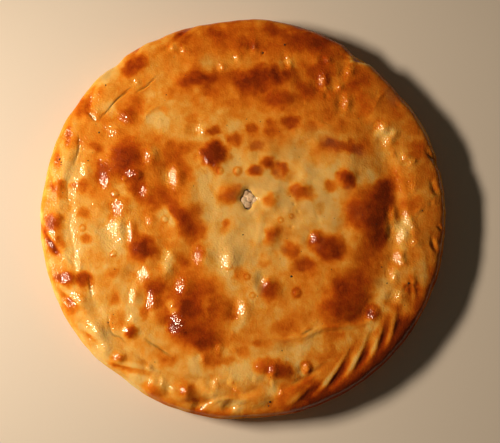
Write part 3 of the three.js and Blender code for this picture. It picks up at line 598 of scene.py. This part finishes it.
def crimps(degrees, inset, height):
    """Depth of the crimps, and how much darker their drops and paler their edges are: partly baking, partly
    painted shade on the drops and painted light on the edges.
    """
    across = degrees - CRIMP_SLANT * (inset - CREST_INSET)
    foot = fade(height, CRIMP_FOOT, CRIMP_FOOT + CRIMP_FOOT_FADE)
    millimetres = math.radians(1) * (RADIUS - inset)
    groove = np.zeros(degrees.shape)
    drop_brown_and_shade = np.zeros(degrees.shape)
    edge_pale_and_lit = np.zeros(degrees.shape)
    for at, depth, inner_end, outer_end in CRIMPS:
        reach = 1 - fade(inset, inner_end - CRIMP_RISE, inner_end)
        if outer_end > 0:
            reach = reach * fade(inset, outer_end, outer_end + CRIMP_OUTER_RISE)
        taper = 1 - CRIMP_TAPER * fade(inset, CREST_INSET, inner_end)
        half_width = (CRIMP_HALF_WIDTH + CRIMP_WIDENING * depth) * taper
        offset = turn_between(across, at) * millimetres / half_width
        stretched = np.where(offset < 0, offset / CRIMP_STEEP_SIDE, offset / CRIMP_EASY_SIDE)
        groove = np.maximum(groove, depth * reach * foot * hump(stretched))
        strength = depth / DEEPEST_CRIMP * reach
        drop_brown_and_shade = np.maximum(drop_brown_and_shade, strength * fade(offset, -0.9, -0.4) * (1 - fade(offset, 0.2, 1.5)))
        edge_pale_and_lit = np.maximum(edge_pale_and_lit, strength * hump((offset + CRIMP_PALE_OFFSET) / CRIMP_PALE_HALF_WIDTH))
    return groove, CRIMP_BROWN_AND_SHADE * drop_brown_and_shade - CRIMP_PALE_AND_LIT * edge_pale_and_lit


def belt_brown(radius, degrees):
    """How much browner the rim's outer edge is."""
    turn = hump_round(degrees, BELT_MIDDLE, BELT_HALF_TURN)
    return (BELT_BROWN_ALL_ROUND + BELT_BROWN * turn) * fade(radius, BELT_RADIUS, RADIUS)


def blister_rise(x, y):
    """Height that the blisters and bubbles add to the lid."""
    rise = np.zeros(x.shape)
    for place, top in ovals(BLISTERS):
        rise += top * hump(oval(x, y, place) / BLISTER_FOOT)
    for at_x, at_y, radius, top in BUBBLES:
        rise += BUBBLE_RISE * top * round_hump(x, y, at_x, at_y, ROUND_FOOT * radius)
    return rise


def rim_relief(x, y):
    """Height that lobes add to the rim, less the depth of the pits."""
    rise = sum(top * hump(oval(x, y, place) / LOBE_FOOT) for place, top in ovals(LOBES))
    for at_x, at_y, radius, depth in PITS:
        rise -= depth * round_hump(x, y, at_x, at_y, ROUND_FOOT * radius)
    return rise


def slopes(x, y):
    """Height that the small slopes add: each rises away from the lamp and settles before and after."""
    rise = np.zeros(x.shape)
    for (at_x, at_y, half_length, half_width, turn), steepness in ovals(SLOPES):
        place = (at_x, at_y, SLOPE_SETTLING * half_length, SLOPE_REACH * half_width, turn)
        settled = np.maximum(1 - oval(x, y, place) ** 2, 0) ** 6
        rise += SLOPE_GAIN * steepness * (x - at_x) * settled
    return rise


def sparkle_share(x, y, loose):
    """How uneven the glaze is, most on the slopes that shine and towards the right, and those slopes."""
    shining = np.zeros(x.shape)
    for place, _ in ovals(SLOPES):
        shining = np.maximum(shining, 1 - fade(oval(x, y, place), SHINING_CORE, SHINING_EDGE))
    most = SPARKLE_MOST + (SPARKLE_MOST_RIGHT - SPARKLE_MOST) * fade(x, -20, 110)
    least = SPARKLE_LEAST * (1 - 0.5 * loose)
    return least + (most - least) * shining, shining


def creases(x, y):
    """Height that creases and ridges add, the painted shade that darkens the creases, and how near they
    are.
    """
    rise = np.zeros(x.shape)
    painted_shade = np.zeros(x.shape)
    near = np.zeros(x.shape)
    for points, half_width, depth, lip, darkness in CREASES:
        distance, side, share = beside_line(x, y, points)
        ends = hump(2 * share - 1) ** 0.5
        rise -= depth * ends * hump(distance / half_width)
        on_lip = np.where(side * lip > 0, 1, LIP_OTHER_SIDE)
        from_lip = (distance - LIP_OFFSET * half_width) / (LIP_HALF_WIDTH * half_width)
        rise += abs(lip) * on_lip * ends * hump(from_lip)
        # Painted shade along each crease
        painted_shade = np.maximum(painted_shade, darkness * ends * hump(distance / half_width))
        near = np.maximum(near, ends * (1 - fade(distance, half_width, CREASE_NEAR * half_width)))
    for points, half_width, height in RIDGES:
        distance, _, share = beside_line(x, y, points)
        rise += height * hump(2 * share - 1) ** 0.5 * hump(distance / half_width)
    return rise, painted_shade, near


def tiny_bubbles(x, y):
    """Height that tiny bubbles add to the skin, at random places."""
    draw = np.random.default_rng(RANDOM_SEED)
    rise = np.zeros(x.shape)
    for _ in range(TINY_BUBBLES):
        reach = (RADIUS - 4) * math.sqrt(draw.random())
        angle = draw.uniform(0, 2 * math.pi)
        radius = draw.uniform(*TINY_RADII)
        top = draw.uniform(*TINY_RISES)
        at_x, at_y = reach * math.cos(angle), reach * math.sin(angle)
        near = np.flatnonzero((np.abs(x - at_x) < radius) & (np.abs(y - at_y) < radius))
        rise[near] += top * round_hump(x[near], y[near], at_x, at_y, radius)
    return rise


def section_rings():
    """Radius, height, slope along the section and number of points for each ring of the crust's outside."""
    curve = smooth_line(SECTION, 400)
    travelled = np.concatenate([[0], np.cumsum(np.linalg.norm(np.diff(curve, axis=0), axis=1))])
    slope = np.gradient(curve, travelled, axis=0)
    rows = []
    place = 0.0
    while place < travelled[-1]:
        radius, height = (np.interp(place, travelled, curve[:, k]) for k in (0, 1))
        along_r, along_z = (np.interp(place, travelled, slope[:, k]) for k in (0, 1))
        step = TOP_STEP if height > WIDEST_HEIGHT else SIDE_STEP
        rows.append((radius, height, along_r, along_z, round(2 * math.pi * radius / step)))
        place += step
    return np.array(rows)


def stitch(rings):
    """Triangles of a closed skin through rings in order, each given as its number of points."""
    faces = []
    first_start = 0
    for first, second in zip(rings, rings[1:]):
        second_start = first_start + first
        i = j = 0
        while i < first or j < second:
            step_first = j == second or (i < first and (i + 1) * second <= (j + 1) * first)
            a = first_start + i % first
            b = second_start + j % second
            if step_first:
                i += 1
                c = first_start + i % first
            else:
                j += 1
                c = second_start + j % second
            if len({a, b, c}) == 3:
                faces.append((a, b, c))
        first_start = second_start
    return faces


def level_ring(middle, radius_at, height, count):
    """Points of a level ring about a middle."""
    angle = 2 * np.pi * np.arange(count) / count
    radius = radius_at(angle) * np.ones(count)
    x = middle[0] + radius * np.cos(angle)
    y = middle[1] + radius * np.sin(angle)
    return np.column_stack([x, y, np.full(count, height)])


def in_metres(points):
    """Points of the lists' millimetres, in the frame."""
    return (points + np.array([SHIFT[0], SHIFT[1], 0])) * METRES


def add_piece(name, points, faces, material, attributes=None):
    """A smooth-shaded mesh object with values on its points."""
    mesh = bpy.data.meshes.new(name)
    mesh.from_pydata(points.tolist(), [], faces)
    mesh.shade_smooth()
    for key, values in (attributes or {}).items():
        layer = mesh.attributes.new(key, "FLOAT", "POINT")
        layer.data.foreach_set("value", values.astype(np.float32))
    mesh.materials.append(material)
    piece = bpy.data.objects.new(name, mesh)
    bpy.context.scene.collection.objects.link(piece)
    return piece


def brown_share(x, y, points):
    """How brown the top of the crust is: zones first, then patches with ragged edges."""
    ragged_x = x + grains(points, RAGGED_X)
    ragged_y = y + grains(points, RAGGED_Y)
    weight = np.full(x.shape, ZONE_DEFAULT_WEIGHT)
    level = ZONE_DEFAULT * weight
    for place, browning in ovals(ZONES):
        near = np.exp(-ZONE_SHARPNESS * oval(x, y, place) ** 2)
        weight += near
        level += near * browning
    level /= weight
    left = np.ones(x.shape)
    for place, darkness in ovals(PATCHES):
        left *= 1 - darkness * (1 - fade(oval(ragged_x, ragged_y, place), PATCH_CORE, PATCH_EDGE))
    for at_x, at_y, radius, _ in BUBBLES:
        ring = hump((np.hypot(x - at_x, y - at_y) - radius) / (RING_WIDTH * radius))
        left *= 1 - RING_BROWN * ring
    share = 1 - (1 - level) * left + grains(points, MOTTLING) - CONTRAST_MIDDLE
    return CONTRAST_MIDDLE + np.where(share < 0, PALE_CONTRAST, CONTRAST) * share


def thin_share(x, y, points, loose):
    """Where the dough is so thin that the filling darkens it."""
    ragged = grains(points, THIN_RAGGED)
    thin = LOOSE_THIN * loose * fade(grains(points, LOOSE_RAGGED), -0.1, 0.7)
    for place, strength in ovals(THIN_PLACES):
        thin = np.maximum(thin, strength * (1 - fade(oval(x, y, place) + ragged, 0.3, 1.4)))
    return thin


def make_crust(material):
    """The whole pie: well, vent, lid, crimped rim, side and underside in one closed skin."""
    rings = section_rings()
    counts = rings[:, 4].astype(int)
    row = np.repeat(np.arange(len(rings)), counts)
    start = np.cumsum(counts) - counts
    angle = 2 * np.pi * (np.arange(counts.sum()) - start[row]) / counts[row]
    degrees = np.degrees(angle)
    radius, height, along_r, along_z = rings[row, :4].T

    on_top = fade(height, WIDEST_HEIGHT, SHOULDER_HEIGHT)
    rounded = radius - on_top * fold_shift(radius, degrees)
    dent = fade(radius, DENT_RADIUS, RADIUS) * dent_depth(degrees)
    corner = (vent_radius(angle) - VENT_RADIUS) * (1 - fade(radius, VENT_RADIUS, VENT_CORNER_REACH))
    to_vent = 1 - fade(radius, VENT_RADIUS, CENTRING_RADIUS)
    x = VENT[0] * to_vent + (rounded - dent + corner) * np.cos(angle)
    y = VENT[1] * to_vent + (rounded - dent + corner) * np.sin(angle)
    flat = np.column_stack([x, y, height])
    seen_x, seen_y = as_seen(flat)

    on_lid = 1 - fade(radius, FOLD_RADIUS, CREST_RADIUS)
    upper = fade(height, CRIMP_FOOT, SHOULDER_HEIGHT)
    groove, crimp_tone_and_light = crimps(degrees, RADIUS - rounded, height)
    uneven_x = seen_x + 0.8 * grain(flat, 7, 7)
    uneven_y = seen_y + 0.8 * grain(flat, 7, 8)
    crease, crease_painted_shade, crease_near = creases(uneven_x, uneven_y)
    loose = 1 - fade(oval(seen_x, seen_y, LOOSE_MIDDLE), 0.5, 1.0)
    lumps = grains(flat, [(0.7, 26, 9), (0.45 + 0.45 * loose, 10, 10), (0.12, 4, 11)])
    blisters = on_lid * blister_rise(seen_x, seen_y)
    push = blisters + upper * (crease + slopes(seen_x, seen_y) + tiny_bubbles(seen_x, seen_y)) - groove
    push += fold_fill(radius, degrees) - valley_depth(rounded, degrees) + upper * rim_relief(seen_x, seen_y)
    push += lumps * fade(height, 0, 5) * fade(radius, VENT_RADIUS, 2 * VENT_RADIUS)
    push -= LIP_DROP * hump((radius - VENT_RADIUS) / LIP_ROUNDING)
    outside = np.column_stack([
        x - along_z * push * np.cos(angle),
        y - along_z * push * np.sin(angle),
        np.maximum(height + along_r * push, 0),
    ])

    brown = brown_share(seen_x, seen_y, flat)
    # Crimp colour is partly baking and partly painted shade and painted light
    brown += upper * (crimp_tone_and_light + belt_brown(radius, degrees))
    side = SIDE_BROWN + grains(flat, SIDE_MOTTLING)
    brown = side + (brown - side) * fade(height, 7, 18)
    thin = thin_share(seen_x, seen_y, flat, loose) * fade(height, 16, 22)
    # Painted shade in the creases, on the top only
    painted_shade = crease_painted_shade * upper
    sparkle, shining = sparkle_share(seen_x, seen_y, loose)
    facing_lamp = hump_round(degrees, BELT_DULL_MIDDLE, BELT_DULL_HALF_TURN)
    belt_worn = BELT_DULL * facing_lamp * fade(rounded, FOLD_RADIUS, BELT_RADIUS)
    worn = np.maximum(belt_worn, CREASE_DULL * facing_lamp * crease_near) * (1 - shining)
    worn = np.maximum(worn, 1 - fade(height, WORN_BELOW, GLAZED_ABOVE))

    well = [
        np.array([[VENT[0], VENT[1], WELL_FLOOR]]),
        level_ring(VENT, lambda a: WELL_RADIUS, WELL_FLOOR, WELL_POINTS),
        level_ring(VENT, lambda a: WELL_RADIUS, WELL_ROOF, WELL_POINTS),
        level_ring(VENT, vent_radius, MOUTH_HEIGHT, WELL_POINTS),
        level_ring(VENT, lambda a: vent_radius(a) - 0.25, THROAT_HEIGHT, WELL_POINTS),
    ]
    base = []
    steps = math.ceil(BASE_RADIUS / BASE_STEP)
    for k in range(steps):
        reach = BASE_RADIUS * (1 - k / steps)
        count = max(FEWEST_POINTS, round(2 * math.pi * reach / BASE_STEP))
        base.append(level_ring((0, 0), lambda a, r=reach: r, 0, count))
    base.append(np.zeros((1, 3)))
    below = np.vstack(base)
    inside = below[1:, 0] ** 2 + below[1:, 1] ** 2 < BASE_HOLLOWS_WITHIN**2
    below[1:, 2] += inside * np.maximum(0, BASE_HOLLOW_DEPTH * grain(below[1:], 18, 16))

    points = np.vstack(well + [outside, below])
    faces = stitch([len(r) for r in well] + counts.tolist() + [len(r) for r in base])
    inner = sum(len(r) for r in well)
    base_brown = BASE_BROWN + 0.16 * grain(below, 20, 17)
    browning = np.concatenate([np.full(inner, WELL_BROWN), brown, base_brown])
    attributes = {
        "browning": np.clip(browning, 0, 1),
        "thin": np.concatenate([np.zeros(inner), thin, np.zeros(len(below))]),
        # Painted shade: the creases and the inside of the well are darkened
        "shade": np.concatenate([np.full(inner, WELL_PAINTED_SHADE), painted_shade, np.zeros(len(below))]),
        "worn": np.concatenate([np.ones(inner), worn, np.ones(len(below))]),
        "sparkle": np.concatenate([np.zeros(inner), sparkle, np.full(len(below), SPARKLE_LEAST)]),
    }
    return add_piece("crust", in_metres(points), faces, material, attributes)


def grow(tree, kind, settings=None, sockets=None):
    """One node of a tree: its settings first, then the values or links of its sockets."""
    made = tree.nodes.new(kind)
    for key, value in (settings or {}).items():
        setattr(made, key, value)
    for key, value in (sockets or {}).items():
        if isinstance(value, bpy.types.NodeSocket):
            tree.links.new(value, made.inputs[key])
        else:
            made.inputs[key].default_value = value
    return made


class Term:
    """A socket in a material's node tree, for arithmetic with numbers and other sockets."""

    def __init__(self, finish, socket):
        self.finish = finish
        self.socket = socket

    def __add__(self, other):
        return self.finish.math("ADD", self, other)

    def __radd__(self, other):
        return self.finish.math("ADD", other, self)

    def __sub__(self, other):
        return self.finish.math("SUBTRACT", self, other)

    def __rsub__(self, other):
        return self.finish.math("SUBTRACT", other, self)

    def __mul__(self, other):
        return self.finish.math("MULTIPLY", self, other)

    def __rmul__(self, other):
        return self.finish.math("MULTIPLY", other, self)


class Finish:
    """A material whose nodes are joined as they are made."""

    def __init__(self, name):
        self.material = bpy.data.materials.new(name)
        self.material.use_nodes = True
        self.tree = self.material.node_tree
        self.tree.nodes.clear()

    def node(self, kind, settings=None, sockets=None, output=0):
        """One node, and the term of one of its outputs."""
        plain = {k: v.socket if isinstance(v, Term) else v for k, v in (sockets or {}).items()}
        made = grow(self.tree, kind, settings, plain)
        return Term(self, made.outputs[output]) if made.outputs else None

    def ramp(self, share, stops):
        """A colour by a share, from the places and colours of stops."""
        made = self.node("ShaderNodeValToRGB", None, {"Fac": share})
        elements = made.socket.node.color_ramp.elements
        while len(elements) < len(stops):
            elements.new(1)
        for element, (place, rgb) in zip(elements, stops):
            element.position = place
            element.color = colour(*rgb)
        return made

    def math(self, operation, first, second):
        return self.node("ShaderNodeMath", {"operation": operation}, {0: first, 1: second})

    def mix(self, share, first, second):
        """A colour between two colours."""
        return self.node("ShaderNodeMix", {"data_type": "RGBA"}, {0: share, 6: first, 7: second}, 2)

    def object_place(self):
        return self.node("ShaderNodeTexCoord", output=3)

    def attribute(self, name):
        return self.node("ShaderNodeAttribute", {"attribute_name": name}, output=2)

    def noise(self, place, size, detail=2.0):
        """Smooth noise, about 0.5 in the mean, with lumps of a size in metres."""
        sockets = {"Vector": place, "Scale": 1 / size, "Detail": detail, "Roughness": 0.55}
        return self.node("ShaderNodeTexNoise", None, sockets)

    def shader(self, sockets):
        return self.node("ShaderNodeBsdfPrincipled", None, sockets)

    def end(self, shader):
        """The output, and the finished material."""
        self.node("ShaderNodeOutputMaterial", None, {"Surface": shader})
        return self.material

    def surface(self, sockets):
        """A material of one shader."""
        return self.end(self.shader(sockets))


def colour(red, green, blue):
    """A socket's colour value."""
    return (red, green, blue, 1)


def crust_finish():
    """Glazed baked dough: pale to dark brown by the mesh's own browning, with a broken shine, and painted
    shade darkening the creases and the well.
    """
    finish = Finish("glazed_crust")
    place = finish.object_place()
    fine = finish.noise(place, 0.0011, 3)
    middle = finish.noise(place, 0.0036, 2)
    wide = finish.noise(place, 0.022, 2)
    browning = finish.attribute("browning") + 0.16 * (middle - 0.5) + 0.20 * (fine - 0.5)
    baked = finish.ramp(browning, [
        (0.00, (0.92, 0.62, 0.21)),
        (0.15, (0.92, 0.53, 0.12)),
        (0.30, (0.88, 0.40, 0.050)),
        (0.45, (0.82, 0.29, 0.018)),
        (0.60, (0.68, 0.175, 0.006)),
        (0.75, (0.52, 0.097, 0.003)),
        (0.90, (0.38, 0.055, 0.002)),
        (1.00, (0.25, 0.032, 0.002)),
    ])
    shown = finish.mix(finish.attribute("thin") * (0.4 + 0.6 * wide), baked, colour(0.38, 0.26, 0.09))
    # Painted shade: the creases and the well are mixed towards near black
    crust = finish.mix(finish.attribute("shade"), shown, colour(0.09, 0.030, 0.006))
    facets = finish.noise(place, 0.0012, 0)
    relief = finish.node("ShaderNodeBump", None, {
        "Strength": 1.0,
        "Distance": 0.0006,
        "Height": 0.7 * finish.attribute("sparkle") * facets,
    })
    dough = {
        "Base Color": crust,
        "Normal": relief,
        "Subsurface Weight": 1.0,
        "Subsurface Radius": (1.0, 0.75, 0.6),
        "Subsurface Scale": 0.0014,
    }
    glazed = finish.shader({
        **dough,
        "Roughness": 0.09 + 0.06 * wide,
        "Specular IOR Level": 0.65,
        "Coat Weight": 0.08,
        "Coat Roughness": 0.32,
    })
    dull = finish.shader({**dough, "Roughness": 0.65 + 0.10 * wide, "Specular IOR Level": 0.04})
    worn = finish.attribute("worn")
    return finish.end(finish.node("ShaderNodeMixShader", None, {0: worn, 1: glazed, 2: dull}))


def filling_finish():
    """Chopped meat and onion, moist, with painted shade in the gaps between the flakes."""
    finish = Finish("meat_and_onion")
    place = finish.object_place()
    lumps = finish.noise(place, 0.0030, 2)
    fibres = finish.noise(place, 0.0007, 3)
    meat = finish.ramp(lumps + 0.35 * (fibres - 0.5), [
        (0.30, (0.46, 0.27, 0.14)),
        (0.42, (0.78, 0.54, 0.34)),
        (0.58, (0.88, 0.66, 0.44)),
        (0.74, (0.93, 0.78, 0.57)),
    ])
    # Painted shade: meat lower than its top, in the gaps between the flakes, turns near black
    height = finish.node("ShaderNodeSeparateXYZ", None, {0: place}, 2)
    lowest, highest = (MEAT_TOP - 0.15) * METRES, (MEAT_TOP + 0.3) * METRES
    above_painted_shade = finish.node("ShaderNodeMapRange", None, {0: height, 1: lowest, 2: highest})
    shown = finish.mix(above_painted_shade, colour(0.10, 0.045, 0.02), meat)
    relief = finish.node("ShaderNodeBump", None, {"Strength": 0.5, "Distance": 0.0004, "Height": fibres})
    return finish.surface({
        "Base Color": shown,
        "Roughness": 0.30 + 0.25 * lumps,
        "Normal": relief,
        "Subsurface Weight": 0.08,
        "Subsurface Radius": (1.0, 0.5, 0.3),
        "Subsurface Scale": 0.002,
    })


def char_finish():
    """Burnt specks, nearly black."""
    finish = Finish("char")
    place = finish.object_place()
    crumbs = finish.noise(place, 0.0004, 2)
    black = finish.mix(crumbs, colour(0.004, 0.003, 0.002), colour(0.035, 0.016, 0.008))
    return finish.surface({"Base Color": black, "Roughness": 0.35 + 0.3 * crumbs})


def floor_finish():
    """A plain pale table top."""
    finish = Finish("pale_floor")
    place = finish.object_place()
    cloud = finish.noise(place, 0.35, 2)
    grain_noise = finish.noise(place, 0.0016, 2)
    base = finish.mix(cloud, colour(0.77, 0.74, 0.70), colour(0.82, 0.79, 0.745))
    pale = finish.mix(0.05 * grain_noise, base, colour(0.60, 0.56, 0.50))
    return finish.surface({"Base Color": pale, "Roughness": 0.55 + 0.1 * cloud})


def tree_socket(tree, name, kind, value=None, in_out="INPUT"):
    """A named input or output of a geometry tree."""
    made = tree.interface.new_socket(name, in_out=in_out, socket_type=kind)
    if value is not None:
        made.default_value = value
    return made.identifier


def apply_tree(piece, tree, values):
    """Runs a geometry tree on a piece and keeps the result as its plain mesh."""
    modifier = piece.modifiers.new(tree.name, "NODES")
    modifier.node_group = tree
    for identifier, value in values.items():
        modifier[identifier] = value
    evaluated = piece.evaluated_get(bpy.context.evaluated_depsgraph_get())
    mesh = bpy.data.meshes.new_from_object(evaluated)
    piece.modifiers.remove(modifier)
    piece.data = mesh


def crumb_shape(tree, size, roughness, seed):
    """An irregular crumb for a geometry tree: a small ball pushed about by noise."""
    ball = grow(tree, "GeometryNodeMeshIcoSphere", None, {"Radius": 1.0, "Subdivisions": 2})
    lumps = grow(tree, "ShaderNodeTexNoise", {"noise_dimensions": "4D"}, {
        "W": float(seed), "Scale": 1.1, "Detail": 1.0,
    })
    centred = grow(tree, "ShaderNodeVectorMath", {"operation": "SUBTRACT"}, {
        0: lumps.outputs["Color"], 1: (0.5, 0.5, 0.5),
    })
    pushed = grow(tree, "ShaderNodeVectorMath", {"operation": "SCALE"}, {
        0: centred.outputs[0], "Scale": roughness,
    })
    crumb = grow(tree, "GeometryNodeSetPosition", None, {
        "Geometry": ball.outputs["Mesh"], "Offset": pushed.outputs[0],
    })
    return grow(tree, "GeometryNodeTransform", None, {"Geometry": crumb.outputs[0], "Scale": size})


def scatter_tree(name, material, keep_ground):
    """A tree that sets crumbs on the points or faces of a piece, with its named inputs."""
    tree = bpy.data.node_groups.new(name, "GeometryNodeTree")
    ids = {
        "ground": tree_socket(tree, "Ground", "NodeSocketGeometry"),
        "size": tree_socket(tree, "Crumb Size", "NodeSocketFloat", 0.002),
        "gap": tree_socket(tree, "Crumb Spacing", "NodeSocketFloat", 0.002),
        "seed": tree_socket(tree, "Seed", "NodeSocketInt", 1),
    }
    tree_socket(tree, "Result", "NodeSocketGeometry", in_out="OUTPUT")
    source = grow(tree, "NodeGroupInput")
    ground, size, gap, seed = source.outputs[:4]
    if keep_ground:
        points = grow(tree, "GeometryNodeDistributePointsOnFaces", {"distribute_method": "POISSON"}, {
            "Mesh": ground, "Distance Min": gap, "Density Max": 4e6, "Seed": seed,
        }).outputs["Points"]
        tilt = 0.2
        crumb = crumb_shape(tree, (1.0, 0.8, 0.22), 1.2, 3)
        vary = grow(tree, "FunctionNodeRandomValue", {"data_type": "FLOAT"}, {
            2: 0.55, 3: 1.15, "Seed": seed,
        })
        share = vary.outputs[1]
    else:
        points = grow(tree, "GeometryNodeMeshToPoints", None, {"Mesh": ground}).outputs["Points"]
        tilt = 0.5
        crumb = crumb_shape(tree, (1.0, 0.8, 0.45), 0.7, 8)
        own = grow(tree, "GeometryNodeInputNamedAttribute", {"data_type": "FLOAT"}, {"Name": "size"})
        share = own.outputs[0]
    scale = grow(tree, "ShaderNodeMath", {"operation": "MULTIPLY"}, {0: share, 1: size})
    turn = grow(tree, "FunctionNodeRandomValue", {"data_type": "FLOAT_VECTOR"}, {
        0: (-tilt, -tilt, 0.0), 1: (tilt, tilt, 2 * math.pi), "Seed": seed,
    })
    placed = grow(tree, "GeometryNodeInstanceOnPoints", None, {
        "Points": points, "Instance": crumb.outputs[0],
        "Rotation": turn.outputs[0], "Scale": scale.outputs[0],
    })
    made = grow(tree, "GeometryNodeRealizeInstances", None, {"Geometry": placed.outputs[0]}).outputs[0]
    if keep_ground:
        joined = grow(tree, "GeometryNodeJoinGeometry")
        tree.links.new(ground, joined.inputs[0])
        tree.links.new(made, joined.inputs[0])
        made = joined.outputs[0]
    smooth = grow(tree, "GeometryNodeSetShadeSmooth", None, {"Geometry": made})
    painted = grow(tree, "GeometryNodeSetMaterial", None, {
        "Geometry": smooth.outputs[0], "Material": material,
    })
    grow(tree, "NodeGroupOutput", None, {0: painted.outputs[0]})
    return tree, ids


def make_filling(material):
    """Meat under the vent: a column with a lumpy top, and flakes of meat set on it."""
    radius = (FILLING_HIGH.x - FILLING_LOW.x) / METRES / 2 - MEAT_CLEARANCE
    floor = FILLING_LOW.z / METRES + MEAT_CLEARANCE
    rings = [np.array([[VENT[0], VENT[1], MEAT_TOP]])]
    for share in (0.2, 0.4, 0.6, 0.8, 1.0):
        ring = level_ring(VENT, lambda a, s=share: s * (vent_radius(a) - 0.6), MEAT_TOP, WELL_POINTS)
        ring[:, 2] += 0.4 * grain(ring, 4, 21) * (1 - share**4) - 0.5 * share**4
        rings.append(ring)
    rings.append(level_ring(VENT, lambda a: radius, MEAT_TOP - 1.2, WELL_POINTS))
    rings.append(level_ring(VENT, lambda a: radius, floor, WELL_POINTS))
    rings.append(np.array([[VENT[0], VENT[1], floor]]))
    faces = stitch([len(r) for r in rings])
    filling = add_piece("filling", in_metres(np.vstack(rings)), faces, material)
    tree, ids = scatter_tree("meat_crumbs", material, True)
    apply_tree(filling, tree, {ids["size"]: FLAKE_SIZE, ids["gap"]: FLAKE_GAP, ids["seed"]: 4})
    return filling


def make_specks(crust, material):
    """Burnt specks that lie on the crust where the camera sees them."""
    mesh = crust.data
    points = np.empty(len(mesh.vertices) * 3, np.float32)
    mesh.vertices.foreach_get("co", points)
    skin = BVHTree.FromPolygons(points.reshape(-1, 3).tolist(), [p.vertices[:] for p in mesh.polygons])
    draw = np.random.default_rng(RANDOM_SEED + 1)
    places = list(SPECKS)
    for _ in range(LOOSE_SPECKS):
        reach = 0.93 * RADIUS * math.sqrt(draw.random())
        angle = draw.uniform(0, 2 * math.pi)
        size = draw.uniform(*LOOSE_SPECK_SIZES)
        places.append((reach * math.cos(angle), reach * math.sin(angle), size))
    eye = camera_place()
    found, sizes = [], []
    for x, y, size in places:
        right, up = np.array([x, y]) - AIM_IN_PICTURE
        target = AIM + np.array([right, up * math.cos(TILT), up * math.sin(TILT)])
        hit, _, _, _ = skin.ray_cast(eye, Vector(target * METRES) - eye)
        if hit is not None:
            found.append(np.array(hit))
            sizes.append(size)
    specks = add_piece("burnt_specks", np.array(found), [], material, {"size": np.array(sizes)})
    scatter, ids = scatter_tree("speck_scatter", material, False)
    apply_tree(specks, scatter, {ids["size"]: METRES, ids["gap"]: METRES, ids["seed"]: 2})
    return specks


def make_floor(material):
    """A wide plain floor under the pie."""
    corners = FLOOR_HALF * np.array([(-1, -1, 0), (1, -1, 0), (1, 1, 0), (-1, 1, 0)])
    floor = add_piece("floor", corners, [(0, 1, 2, 3)], material)


def aim(thing, target):
    """Turns a camera or a light to look at a point."""
    direction = Vector(target) - thing.location
    thing.rotation_euler = direction.to_track_quat("-Z", "Y").to_euler()


def camera_place():
    """Where the camera stands in the frame."""
    return Vector(AIM * METRES) + CAMERA_DISTANCE * METRES * Vector((0, -math.sin(TILT), math.cos(TILT)))


def make_camera():
    """Nearly straight above the pie, leaning to the near side."""
    camera = bpy.data.objects.new("camera", bpy.data.cameras.new("camera"))
    camera.data.lens = LENS
    camera.data.sensor_width = SENSOR
    camera.data.clip_start = 0.01
    camera.location = camera_place()
    aim(camera, AIM * METRES)
    bpy.context.scene.collection.objects.link(camera)
    bpy.context.scene.camera = camera


def make_lights():
    """A warm, long lamp from the left, as three lamps in a row, and a little light from all round."""
    lamp = bpy.data.lights.new("lamp", "SPOT")
    lamp.energy = LAMP_POWER / len(LAMP_PLACES)
    lamp.color = LAMP_COLOUR
    lamp.shadow_soft_size = LAMP_SOFTNESS
    lamp.spot_size = LAMP_CONE
    lamp.spot_blend = 1.0
    for number, place in enumerate(LAMP_PLACES):
        key = bpy.data.objects.new(f"lamp_{number}", lamp)
        key.location = place
        aim(key, LAMP_TARGET)
        bpy.context.scene.collection.objects.link(key)
    world = bpy.data.worlds.new("room")
    world.use_nodes = True
    background = world.node_tree.nodes["Background"]
    background.inputs["Color"].default_value = colour(*ROOM_COLOUR)
    background.inputs["Strength"].default_value = ROOM_LIGHT
    bpy.context.scene.world = world
    bpy.context.scene.view_settings.view_transform = "Standard"


crust = make_crust(crust_finish())
filling = make_filling(filling_finish())
specks = make_specks(crust, char_finish())
for piece, slot in ((crust, "crust"), (filling, "filling"), (specks, "crust")):
    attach(piece, "root")
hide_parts("crust")
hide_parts("filling")

make_floor(floor_finish())
make_camera()
make_lights()
